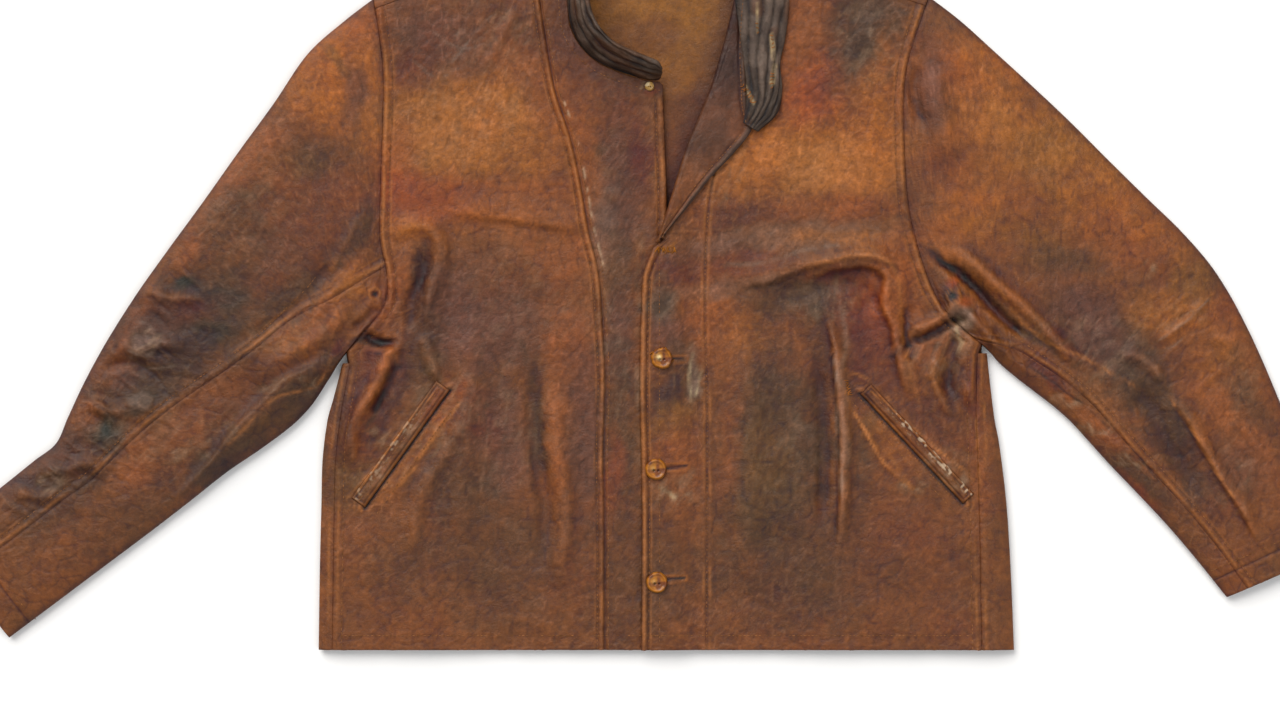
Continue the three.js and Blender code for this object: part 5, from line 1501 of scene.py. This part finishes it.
def build_back():
    """The back lies flat; it comes round each side and over each shoulder to its seams."""
    shell = Shell()
    add_flat_back(shell)
    add_inside_back(shell)
    for label, inward, turned in (("right", 1, True), ("left", -1, False)):
        folds = CURVES["side_" + label](shares(190))
        seam_line = EDGE["seam_" + label]
        seams = np.stack([line_x(seam_line, folds[:, 1]) - inward * 0.05, folds[:, 1]], axis=1)
        add_strip(shell, folds + np.array([inward * EDGE_UNDER, 0]), folds, seams, seam_line, turned)
    for label, neck_point, turned in (("right", NECK_POINT_RIGHT, True), ("left", NECK_POINT_LEFT, False)):
        armhole = CURVES["armhole_" + label]
        folds = straight(armhole(0)[0], neck_point)(shares(100))
        seam_end = np.array([neck_point[0], neck_point[1] - SHOULDER_DROP + 0.3])
        seams = straight(armhole(SHOULDER_SHARE)[0] + np.array([0, 0.3]), seam_end)(shares(100))
        add_strip(shell, folds - np.array([0, EDGE_UNDER]), folds, seams, seams, turned)
    return shell.build("leather_back", LEATHER)


ROLL_STEPS = 14


def lapel_shape(line):
    """Points of the lapel: round its roll, then flat on the front. Also the distance from the roll."""
    roll, outer = line[:, :2], line[:, 2:]
    width = (outer[:, 0] - roll[:, 0])[:, None]
    turns = (shares(ROLL_STEPS) - 0.5) * math.pi
    round_d = np.broadcast_to(ROLL_RADIUS * (1 - np.cos(turns)), (len(line), ROLL_STEPS + 1))
    across = np.concatenate([[0.018], shares(26)[1:-3], [0.91, 0.945, 0.975, 1.0]])
    d = np.concatenate([round_d, ROLL_RADIUS + (width - ROLL_RADIUS) * across[None, :]], axis=1)
    x = roll[:, :1] + d
    y = roll[:, 1:] + (outer[:, 1:] - roll[:, 1:]) * d / width

    def ground(px, py):
        return body_top(px, py) + left_lift(px, py)

    base = ground(roll[:, 0] + ROLL_RADIUS, roll[:, 1])[:, None] - LAPEL_THICK
    round_z = base + ROLL_RADIUS * (1 + np.sin(turns))[None, :]
    flat_x, flat_y = x[:, ROLL_STEPS + 1:], y[:, ROLL_STEPS + 1:]
    lifted = 2 * ROLL_RADIUS - 2 * LAPEL_THICK - FLAP_GAP
    flat_z = ground(flat_x, flat_y) + LAPEL_THICK + FLAP_GAP + lifted * (1 - smooth(across))[None, :]
    free = (1 - across)[None, :] * (width - ROLL_RADIUS)
    flat_z = flat_z + 1.0 * bump(free, 3.4, 1.9) - 0.7 * bump(free, 7.2, 1.2)
    flat_z = flat_z + 0.8 * rough(flat_x, flat_y, 24, 2)
    return x, y, np.concatenate([round_z, flat_z], axis=1), d, width - d


def build_lapel():
    x, y, z, roll_far, edge_far = lapel_shape(smooth_line(LAPEL)(dense_ends(110, 231)))
    tone = toned(linear("lapel"), "lapel worn", smooth(noise(x, y, 30, 1)))
    tone = toned(tone, "lapel foot", 0.7 * (1 - smooth((y - 110) / 90)))
    tone = weathered(toned(tone, "lapel head", 0.85 * smooth((y - 190) / 80)), x, y)
    tone = toned(tone, "lapel edge", 0.85 * smooth((6.5 - edge_far) / 3))
    tone = toned(tone, "lapel rub", 0.5 * bump(edge_far, 3.4, 1.1) * (0.4 + noise(x, y, 9, 2)))
    tone = darker(darker(tone, 0.4 * bump(edge_far, 7.6, 1.2)), 0.22 * smooth((9 - roll_far) / 8))
    return sheet("leather_lapel", x, y, z, tone, LAPEL_THICK)


# Sleeves
TUCKS = (1.0, 0.6, 0.3, 0.12)  # places on the round underside of an edge, as shares of its depth


def beside_seam(steps):
    """Shares across a sleeve's upper face, closer together near both ends."""
    return dense_ends(steps, steps * STEP, 7.0, 0.8)


class Sleeve:
    """A sleeve's shape. Its sections run from the outer edge to the inner edge."""

    def __init__(self, rows, armhole):
        table = np.asarray(rows, float)
        centres = np.column_stack([table, (table[:, 0] + table[:, 2]) / 2, (table[:, 1] + table[:, 3]) / 2])
        self.ss = dense_ends(SLEEVE_LENGTH / STEP, SLEEVE_LENGTH, 9.0, 1.0)
        sections = smooth_line(centres, measure=(5, 6))(self.ss)
        self.outer, self.inner, self.seam = sections[:, None, 0:2], sections[:, None, 2:4], sections[:, 4:5]
        self.width = np.linalg.norm(self.inner - self.outer, axis=2)
        self.first = straight(table[0, :2], table[0, 2:4])
        self.armhole = armhole
        self.armhole_line = armhole(shares(OUTLINE_STEPS))
        self.cuff_far = (1 - self.ss)[:, None] * SLEEVE_LENGTH

    def place(self, share):
        """Plan points at shares across, bent to the armhole near the shoulder."""
        flat = share.ravel()
        bend = (self.armhole(flat) - self.first(flat)).reshape(share.shape + (2,))
        follow = (1 - smooth(self.ss / 0.3))[:, None, None]
        return mix(self.outer, self.inner, share[..., None]) + bend * follow

    def rim(self, share):
        return np.minimum(share, 1 - share) * self.width

    def top(self, share):
        """Points of the upper face."""
        x, y = parted(self.place(share))
        calm = smooth(self.rim(share) / EDGE_OVER)
        breadth = self.width / SLEEVE_EDGE_OVER
        start, cuff = smooth(self.ss / SHOULDER_RISE), smooth((1 - self.ss) / CUFF_FALL)
        full = mix(ARMHOLE_LOFT, SLEEVE_LOFT, start) - CUFF_DROP * (1 - cuff)
        raised = (full[:, None] - EDGE_HEIGHT) * arch(share * breadth) * arch((1 - share) * breadth)
        z = EDGE_HEIGHT + raised + relief(x, y) * mix(SLEEVE_EDGE_RELIEF, 1, calm)
        z = np.maximum(z, mix(EDGE_HEIGHT, LEAST_LOFT, calm))
        seam_far = np.abs(share - self.seam) * self.width
        z = z - 0.5 * bump(far_from(x, y, self.armhole_line), 0, 2.0) - 0.45 * bump(seam_far, 0, 1.4)
        ridge = 0.5 * bump(seam_far, RIDGE, 2.0) - 0.3 * bump(seam_far, SLEEVE_ROW, 1.0)
        z = z + np.where(share < self.seam, ridge, 0.0)
        z = z - 0.9 * bump(self.cuff_far, CUFF_HEM, 1.6) + 0.5 * bump(self.cuff_far, 3, 3)
        return np.dstack([x, y, z + pits_height(x, y)])

    def top_tint(self, points, share):
        x, y, z = points[..., 0], points[..., 1], points[..., 2]
        colour = openings_tint(rubbed_and_shaded(painted(x, y), z), x, y)
        far = far_from(x, y, self.armhole_line)
        # Painted shadow on the sleeve along the armhole seam, cast by the body's raised seam ridge
        colour = darker(colour, 0.22 * bump(far, 0, 1.8) + 0.16 * bump(far, 0, 9))
        seam_far = ridge_on(share < self.seam, np.abs(share - self.seam) * self.width)
        colour = seam_tint(colour, x, y, seam_far, 3.4, SLEEVE_ROW, 0.4, 0.3)
        colour = darker(colour, 0.35 * bump(self.cuff_far, CUFF_HEM, 1.4))
        # Painted shade along the sleeve's folded edges
        return darker(colour, 0.4 * bump(self.rim(share), 0, 3.5))

    def upper_face(self, share):
        points = self.top(share)
        return points, self.top_tint(points, share)

    def lower_face(self, columns):
        """Points below the edge, flat on the surface but for the edge's round underside, with painted shade
        in their colour.
        """
        share = np.concatenate([column + 0 * self.width for column in columns], axis=1)
        plan = self.place(share)
        z = EDGE_HEIGHT * (1 - arch(self.rim(share) / EDGE_UNDER))
        return np.dstack([plan, z]), painted(*parted(plan)) * 0.8


def build_sleeve(sleeve, turned, upper):
    """One of a sleeve's two pieces: the upper one before the long seam, the under one behind it."""
    gap = 0.06 / sleeve.width
    tuck = EDGE_UNDER / sleeve.width
    if upper:
        spread = 0.5 - 0.5 * np.cos(math.pi * beside_seam(90))
        over = (sleeve.seam - gap) * spread[None, :]
        below = [UNDER_SEAM, mix(tuck, UNDER_SEAM, 0.5)] + [tuck * share for share in TUCKS]
        parts = [sleeve.lower_face(below), sleeve.upper_face(over)]
    else:
        spread = np.sin(math.pi / 2 * beside_seam(60))
        over = sleeve.seam + gap + (1 - sleeve.seam - gap) * spread[None, :]
        below = [1 - tuck * share for share in TUCKS[::-1]]
        below += [mix(1 - tuck, UNDER_SEAM, t) for t in shares(14)[1:]]
        parts = [sleeve.upper_face(over), sleeve.lower_face(below)]
    points, colour = (np.concatenate(part, axis=1) for part in zip(*parts))
    shell = Shell()
    shell.grid(points, colour, HIDE, turned=turned)
    return shell


def build_sleeves():
    made = {}
    for label, rows, turned in (("right", SLEEVE_RIGHT, True), ("left", SLEEVE_LEFT, False)):
        sleeve = Sleeve(rows, CURVES["armhole_" + label])
        for part in ("upper", "under"):
            name = f"sleeve_{part}_{label}"
            made[name] = build_sleeve(sleeve, turned, part == "upper").build("leather_" + name, LEATHER)
    return made


# Collar
COLLAR_END = 0.013  # share of the collar's length over which its end is rounded
COLLAR_COLUMNS = 330
COLLAR_ROWS = 40
TURNED_OUT = 0.55  # share of its length from which it lies turned out over the left front
FRAY_SOFTNESS = 1.6


def bunched(u):
    """How much the collar's wrinkles bunch up, which they do near its turned-out end."""
    return smooth((u - 0.86) / 0.1)


def collar_points(us, vs):
    """The collar's outer face, through the seam, crease and free edge of its stations."""
    table = smooth_line(COLLAR, measure=(3, 4, 5))(us)
    base, mid, edge = table[:, None, 0:3], table[:, None, 3:6], table[:, None, 6:9]
    rounded = mix(0.25, 1.0, arch(us / COLLAR_END))[:, None, None]
    v = 0.5 + (vs[None, :, None] - 0.5) * rounded
    return base * (1 - v) * (1 - 2 * v) + mid * 4 * v * (1 - v) + edge * v * (2 * v - 1)


def collar_strands(u, v):
    """Long wrinkles from 0 to 1, and short pinches above and below 0."""
    along, up = u * COLLAR_LENGTH, v * COLLAR_HEIGHT
    wander = 0.9 * rough(along, up, 85, 1, 2) + 0.3 * rough(along, up * 2, 20, 3, 2)
    count = 3.3 + 1.4 * smooth((u - TURNED_OUT) / 0.1) + 1.2 * bunched(u)
    strands = np.abs(np.sin(math.pi * (v * count + wander))) ** 0.7
    strands = mix(strands, 0.6, 0.3 * blots(along, up * 2.5, 44, 2, 0.35, 0.4))
    return strands, rough(along, up * 3, 9, 2)


def collar_tint(u, v, strands, pinch, x, y):
    along, up = u * COLLAR_LENGTH, v * COLLAR_HEIGHT
    rub = clamp(0.55 * strands + 0.9 * noise(along, up, 9, 1) - 0.5)
    tone = toned(linear("collar hollow"), "collar ridge", rub)
    tone = toned(tone, "collar warm", 0.5 * blots(along, up * 2, 22, 0, 0.55, 0.2))
    # Painted light and shade across the wrinkles: lighter on their crests, darker in their hollows
    tone = tone * (0.44 + 1.1 * strands + 0.35 * pinch)[..., None]
    shaded = 0.5 * bunched(u) + 0.3 * (1 - smooth(u / 0.5)) + 0.25 * (1 - smooth(v / 0.3))
    tone = darker(tone, clamp(shaded))
    for start, end, radius in FRAYS:
        far = far_from(x, y, np.array([spot(*start), spot(*end)]))
        ragged = 0.35 + 0.65 * blots(x, y, 4.4, 2, 0.35, 0.25)
        tone = toned(tone, "fray", 0.8 * smooth(FRAY_SOFTNESS - far / radius) * ragged)
    return tone


def build_collar():
    """A band with long wrinkles, its outer and inner face and both edges."""
    us, vs = dense_ends(COLLAR_COLUMNS, COLLAR_LENGTH, 8.0, 0.8), shares(COLLAR_ROWS)
    u, v = us[:, None], vs[None, :]
    outer = collar_points(us, vs)
    normals = grid_normals(outer)
    strands, pinch = collar_strands(u, v)
    pillow = (1.9 + 0.8 * rough(u * COLLAR_LENGTH, v * COLLAR_HEIGHT, 40, 0)) * strands + pinch
    edges_round, ends_round = faded_ends(v, 0.06), faded_ends(u, 0.02)
    shift = normals * (0.9 * (pillow - 1.0) * edges_round * ends_round)[..., None]
    tone = collar_tint(u, v, strands, pinch, *parted(outer))
    outside, inside = outer + shift, outer - normals * COLLAR_THICK - shift
    shell = Shell()
    shell.grid(outside, tone, lip=False)
    shell.grid(inside, tone, turned=True, lip=False)
    for end in (0, -1):
        rim, tones = np.stack([outside[end], inside[end]]), np.stack([tone[end], tone[end]])
        shell.grid(rim, tones, turned=end == 0, lip=False)
    for edge in (0, -1):
        rim, tones = np.stack([outside[:, edge], inside[:, edge]]), np.stack([tone[:, edge], tone[:, edge]])
        shell.grid(rim, tones, turned=edge == -1, lip=False)
    return welded(shell.build("leather_collar", COLLAR_LEATHER))


def welded(piece):
    """Joins the faces of a piece along their shared edges."""
    mesh = bmesh.new()
    mesh.from_mesh(piece.data)
    bmesh.ops.remove_doubles(mesh, verts=mesh.verts, dist=1e-6)
    mesh.to_mesh(piece.data)
    mesh.free()
    return piece


# Trimmings, which lie on the leather
WELL_ABOVE = 0.2  # in metres


def ground_of(*pieces):
    """Height of the leather below a place, as a function of arrays of x and y."""
    depsgraph = bpy.context.evaluated_depsgraph_get()
    trees = [BVHTree.FromObject(piece, depsgraph) for piece in pieces]

    def height(x, y):
        x, y = np.broadcast_arrays(np.asarray(x, float), np.asarray(y, float))
        out = np.zeros(x.size)
        for k, (px, py) in enumerate(zip(x.ravel() * MM, y.ravel() * MM)):
            hits = [tree.ray_cast((px, py, WELL_ABOVE), (0, 0, -1))[0] for tree in trees]
            tops = [hit[2] for hit in hits if hit is not None]
            out[k] = max(tops) / MM if tops else 0.0
        return out.reshape(x.shape)

    return height


def build_welt(pocket, ground):
    """A strip of leather along one side of a pocket's slit."""
    name, top, low, out, width = pocket
    top, low = np.array(top, float), np.array(low, float)
    long = float(np.linalg.norm(low - top))
    side = np.array([(low[1] - top[1]) * -out, (low[0] - top[0]) * out]) / long
    t, u = shares(150)[:, None], shares(24)[None, :]
    x, y = parted(top + (low - top) * t[..., None] + side * width * u[..., None])
    rim = np.minimum(np.minimum(u, 1 - u) * width, np.minimum(t, 1 - t) * long)
    z = blurred(ground(x, y), 4) + 0.5 + WELT_THICK * arch(rim / 2.4) + 0.5 * bump(u * width, width * 0.5, 3)
    z = z + 0.35 * ridged(t * long, u * width, 7, 1, 2) - 0.6 * bump(rim, 3.2, 0.9)
    # A dark stitch groove, and painted shade along the welt's edges
    colour = darker(rubbed_and_shaded(painted(x, y), z), 0.35 * bump(rim, 3.2, 0.9) + 0.3 * bump(rim, 0, 1.0))
    colour = toned(colour, "seam", 0.6 * bump(rim, 1.6, 1.0) * noise(x, y, 12, 2))
    # Pale flecks on the welt's far side: painted glints
    far_side = smooth((u - 0.45) / 0.3) * smooth((t - 0.15) / 0.2)
    glint_flecks = far_side * blots(t * long * 0.8, u * width, 2.2, 3, 0.58, 0.16)
    colour = toned(colour, "welt fleck", (0.75 if out > 0 else 0.3) * glint_flecks)
    return sheet(f"leather_welt_{name}", x, y, z, colour, 0.6, turned=out > 0)


CHIPPED, WHOLE = 0.3, 0.06  # how ragged a button's rim is
DISC_RINGS = 26
DISC_SPOKES = 96
DISC_MIDDLE = 0.02  # share of the radius at which the innermost ring lies


def disc_tint(r, dx, dy, holes, radius, ragged, pale):
    hollow, ridge = ("stud hollow", "cream") if pale else ("horn hollow", "ochre")
    tone = toned(linear(hollow), ridge, blots(dx, dy, 3.6, 1, 0.3, 0.4))
    # Painted shade in the two holes and in a ring on the inner slope of the rim
    tone = darker(tone, 0.9 * holes + 0.2 * bump(r, 0.68, 0.06))
    # A painted glint on the chipped button
    glint = ragged * 3.2 * bump(np.hypot(dx + 0.3 * radius, dy - 0.1 * radius), 0, 0.22 * radius)
    tone = toned(tone, "glint", clamp(glint))
    crack = ragged * smooth((ridged(dx, dy, 4.2, 3, 4) - 0.35) / 0.3)
    return darker(tone, 0.75 * clamp(crack))


def build_disc(name, centre, radius, thick, ground, ragged, pale=False):
    """A weathered button: a raised rim, a dished middle and two small holes, with painted shade in the holes
    and on its side wall.
    """
    rings, turns = np.linspace(DISC_MIDDLE, 1, DISC_RINGS), shares(DISC_SPOKES) * 2 * math.pi
    r, a = np.meshgrid(rings, turns, indexing="ij")
    wobble = ragged * (0.6 * noise(np.cos(a) * 9, np.sin(a) * 9, 2.2, 1) - 0.3)
    reach = radius * (1 + wobble * smooth((r - 0.5) / 0.5))
    dx, dy = r * reach * np.cos(a), r * reach * np.sin(a)
    base = float(np.max(ground(centre[0] + dx[::5, ::8], centre[1] + dy[::5, ::8]))) + 0.25
    profile = (0.74 + 0.26 * bump(r, 0.82, 0.14)) * arch((1 - r) * radius / 1.6)
    chips = ragged * 0.9 * rough(dx, dy, 3.4, 2)
    z = base + thick * profile + chips * 0.6 * smooth((1 - r) / 0.2)
    holes = np.zeros(r.shape)
    for hole_x in (-0.2, 0.2):
        hole = np.hypot(dx - hole_x * radius, dy + 0.12 * radius)
        holes = np.maximum(holes, bump(hole, 0, 0.1 * radius))
    tone = disc_tint(r, dx, dy, holes, radius, ragged, pale)
    wall = np.dstack([dx[-1:], dy[-1:], np.full((1, r.shape[1]), base - 0.6)])
    points = np.concatenate([np.dstack([dx, dy, z - 1.4 * holes]), wall]) + np.array([*centre, 0.0])
    shell = Shell()
    # The side wall gets painted shade: 0.4 of the rim's colour
    shell.grid(points, np.concatenate([tone, tone[-1:] * 0.4]), turned=True, lip=False)
    return shell.build(name, HORN)


def unit_steps(points):
    """The direction of a line at each of its points."""
    ahead = np.gradient(points, axis=0)
    return ahead / np.maximum(np.linalg.norm(ahead, axis=1, keepdims=True), 1e-9)


def along_line(points, spacing):
    """Evenly spaced places on a line, with its direction at each."""
    at = np.concatenate([[0], np.cumsum(np.linalg.norm(np.diff(points, axis=0), axis=1))])
    where = np.arange(spacing / 2, at[-1], spacing)
    places = np.column_stack([np.interp(where, at, points[:, 0]), np.interp(where, at, points[:, 1])])
    return places, unit_steps(places)


def beside(points, far):
    """A line moved to its left by a distance."""
    points = np.asarray(points, float)
    ahead = unit_steps(points)
    return points + far * np.stack([-ahead[:, 1], ahead[:, 0]], axis=1)


def tube(shell, points, radius, colour, sides):
    """A thread through some points, thinner at its ends."""
    ahead = unit_steps(points)
    aside = np.cross(ahead, [0.0, 0.0, 1.0])
    aside /= np.maximum(np.linalg.norm(aside, axis=1, keepdims=True), 1e-9)
    up = np.cross(aside, ahead)
    taper = np.full(len(points), radius)
    taper[0] = taper[-1] = 0.35 * radius
    turn = (shares(sides) * 2 * math.pi)[None, :, None]
    ring = aside[:, None] * np.cos(turn) + up[:, None] * np.sin(turn)
    grid = points[:, None] + ring * taper[:, None, None]
    shell.grid(grid, np.broadcast_to(colour, grid.shape), lip=False)


STITCH_STEP = 3.4
STITCH_HALF = 1.15
THREAD_RADIUS = 0.34
WORN_AWAY = 0.12  # share of the stitches that are missing
HEM_ROW = HEM_Y + 13


def sleeve_rows(table):
    """The row beside a sleeve's front seam and the one round its cuff."""
    rows = np.asarray(table, float)
    outer, inner, share = rows[:, :2], rows[:, 2:4], rows[:, 4:5]
    seam = mix(outer, inner, share)
    from_cuff = (rows[-2, :2] + rows[-2, 2:4] - rows[-1, :2] - rows[-1, 2:4]) / 2
    cuff = np.array([outer[-1], inner[-1]]) + CUFF_HEM * from_cuff / np.linalg.norm(from_cuff)
    upper_side = -SLEEVE_ROW if seam[-1, 0] < 0 else SLEEVE_ROW
    return [(smooth_line(seam)(shares(80)[6:]), upper_side), (cuff, 0.0)]


def stitch_rows():
    """Every row of stitches: a line and how far to its left the row lies."""
    across = shares(70)
    facing = CURVES["facing_right"](across)
    rows = [
        (EDGE["armhole_right"][2:], STITCH_ROW),
        (EDGE["armhole_left"][2:], -STITCH_ROW),
        (EDGE["seam_right"], -STITCH_ROW),
        (EDGE["seam_left"], STITCH_ROW),
        (EDGE["front_right"], 7.6),
        (CURVES["neck_right"](across[:-6]), 7.6),
        (facing, 7.0),
        (facing, -3.0),
        (CURVES["front_left"](across), -7.0),
        (CURVES["facing_left"](np.linspace(0, 0.62, 60)), 0.0),
        (smooth_line(LAPEL)(across)[:, 2:], 6.2),
        (np.array([(-270, HEM_ROW), (22, HEM_ROW)]), 0.0),
        (np.array([(4, HEM_ROW), (302, HEM_ROW)]), 0.0),
    ]
    for _, top, low, out, width in POCKETS:
        rows += [(np.array([top, low]), -out * far) for far in (-8.0, 3.2, width - 3.2)]
    return rows + sleeve_rows(SLEEVE_RIGHT) + sleeve_rows(SLEEVE_LEFT)


def build_stitches(ground):
    shell = Shell()
    draw = np.random.default_rng(5)
    for line, far in stitch_rows():
        places, ahead = along_line(beside(line, far), STITCH_STEP)
        keep = draw.random(len(places)) > WORN_AWAY
        shades = draw.uniform(0.55, 1.25, len(places))
        for place, way, shade in zip(places[keep], ahead[keep], shades[keep]):
            ends = place + np.array([[-STITCH_HALF], [0.0], [STITCH_HALF]]) * way
            z = ground(ends[:, 0], ends[:, 1]) + np.array([0.0, 0.28, 0.0])
            tube(shell, np.column_stack([ends, z]), THREAD_RADIUS, linear("thread") * shade, 4)
    return shell.build("stitches", THREAD)


# Loose threads: start and end in photo pixels, how many, their spread in millimetres and their tone
LOOSE = [
    ("buttonhole at the break", (656, 250), (676, 250), 13, 3.4, "ochre"),
    ("bar tack", (846, 380), (850, 396), 9, 2.2, "seam"),
    ("collar end", (741, 84), (754, 104), 7, 3.2, "seam"),
    ("collar turn", (756, 22), (758, 36), 3, 1.5, "seam"),
    ("collar edge", (771, 34), (773, 50), 4, 1.6, "seam"),
    ("collar tip", (772, 72), (771, 90), 5, 1.8, "seam"),
    ("upper button", (652, 352), (672, 364), 8, 4.5, "ochre"),
]
LOOSE_RADIUS = 0.38


def build_loose_threads(ground):
    shell = Shell()
    draw = np.random.default_rng(8)
    for _, start, end, count, spread, tone in LOOSE:
        start, end = np.array(spot(*start)), np.array(spot(*end))
        way = (end - start) / np.linalg.norm(end - start)
        aside = np.array([-way[1], way[0]])
        for k in range(count):
            middle = mix(start, end, (k + 0.5) / count)
            reach = spread * draw.uniform(0.6, 1.1)
            lean = way * draw.uniform(-0.6, 0.6) * spread
            bow = way * draw.uniform(-0.5, 0.5) * spread
            ends = [middle - aside * reach - lean, middle + bow, middle + aside * reach + lean]
            path = smooth_line(ends)(shares(6))
            z = ground(path[:, 0], path[:, 1]) + 0.25 + 0.5 * np.sin(math.pi * shares(6))
            colour = linear(tone) * draw.uniform(0.6, 1.1)
            tube(shell, np.column_stack([path, z]), LOOSE_RADIUS, colour, 5)
    return shell.build("loose_threads", THREAD)


def attach(piece, cad_name):
    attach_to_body(piece, "root")
    if cad_name:
        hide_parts(cad_name)


def build_leather():
    made = {
        "front_right": build_front_right(),
        "front_left": build_front_left(),
        "back": build_back(),
        "lapel_left": build_lapel(),
        "collar": build_collar(),
    }
    made.update(build_sleeves())
    for pocket in POCKETS:
        ground = ground_of(made["front_" + pocket[0]])
        made["welt_" + pocket[0]] = build_welt(pocket, ground)
    for cad_name, piece in made.items():
        attach(piece, cad_name)
    return made


def build_trimmings(made):
    fronts = ground_of(made["front_left"], made["front_right"])
    for label, x, y in BUTTONS:
        name = "button_" + label
        ragged = CHIPPED if label == "upper" else WHOLE
        button = build_disc("worn_" + name, (x, y), BUTTON_RADIUS, BUTTON_THICK, fronts, ragged)
        attach(button, name)
    stud = build_disc("worn_stud", STUD, STUD_RADIUS, STUD_THICK, fronts, 2 * WHOLE, pale=True)
    attach(stud, "collar_stud")
    everywhere = ground_of(*made.values())
    attach(build_stitches(everywhere), None)
    attach(build_loose_threads(everywhere), None)


# Studio. Each sun: where it is, its strength, how wide it looks in degrees, and its colour
SUNS = {
    "key": ((-0.6, 1.0, 1.0), 2.9, 50, (1.0, 0.97, 0.93)),
    "fill": ((0.9, -0.5, 1.4), 0.7, 60, (0.97, 0.99, 1.0)),
}
SKY_STRENGTH = 0.42
FLOOR_HALF = 6.0
FLOOR_Z = -0.0005
FLOOR_WHITE = 0.93


def plain(name, colour, roughness):
    material = bpy.data.materials.new(name)
    material.use_nodes = True
    shader = material.node_tree.nodes["Principled BSDF"]
    shader.inputs["Base Color"].default_value = (*colour, 1)
    shader.inputs["Roughness"].default_value = roughness
    return material


def placed(name, data):
    thing = bpy.data.objects.new(name, data)
    bpy.context.scene.collection.objects.link(thing)
    return thing


def build_stage():
    mesh = bpy.data.meshes.new("floor")
    corners = [(x * FLOOR_HALF, y * FLOOR_HALF, 0) for x, y in ((-1, -1), (1, -1), (1, 1), (-1, 1))]
    mesh.from_pydata(corners, [], [(0, 1, 2, 3)])
    floor = placed("floor", mesh)
    floor.location.z = FLOOR_Z
    floor.data.materials.append(plain("floor_white", (FLOOR_WHITE,) * 3, 0.9))
    world = bpy.data.worlds.new("soft_sky")
    world.use_nodes = True
    background = world.node_tree.nodes["Background"]
    background.inputs["Color"].default_value = (1.0, 1.0, 1.0, 1)
    background.inputs["Strength"].default_value = SKY_STRENGTH
    bpy.context.scene.world = world
    for name, (away, strength, spread, colour) in SUNS.items():
        light = bpy.data.lights.new(name, "SUN")
        light.energy = strength
        light.angle = math.radians(spread)
        light.color = colour
        lamp = placed(name, light)
        low = math.hypot(away[0], away[1])
        lamp.rotation_euler = (math.atan2(low, away[2]), 0, math.atan2(away[1], away[0]) + math.pi / 2)
        lamp.location = [2 * part for part in away]


SENSOR = 36
LENS = 100
SEEN_HEIGHT = 0.008  # height on the jacket at which the photo's scale holds


def build_camera():
    camera = bpy.data.cameras.new("camera")
    camera.sensor_width = SENSOR
    camera.lens = LENS
    camera.clip_end = 50
    seen_width = PHOTO_SIZE[0] * PHOTO_PIXEL * MM
    eye = placed("camera", camera)
    eye.location = (0, 0, seen_width * camera.lens / camera.sensor_width + SEEN_HEIGHT)
    bpy.context.scene.camera = eye


build_stage()
build_trimmings(build_leather())
build_camera()
bpy.context.scene.view_settings.view_transform = "Standard"
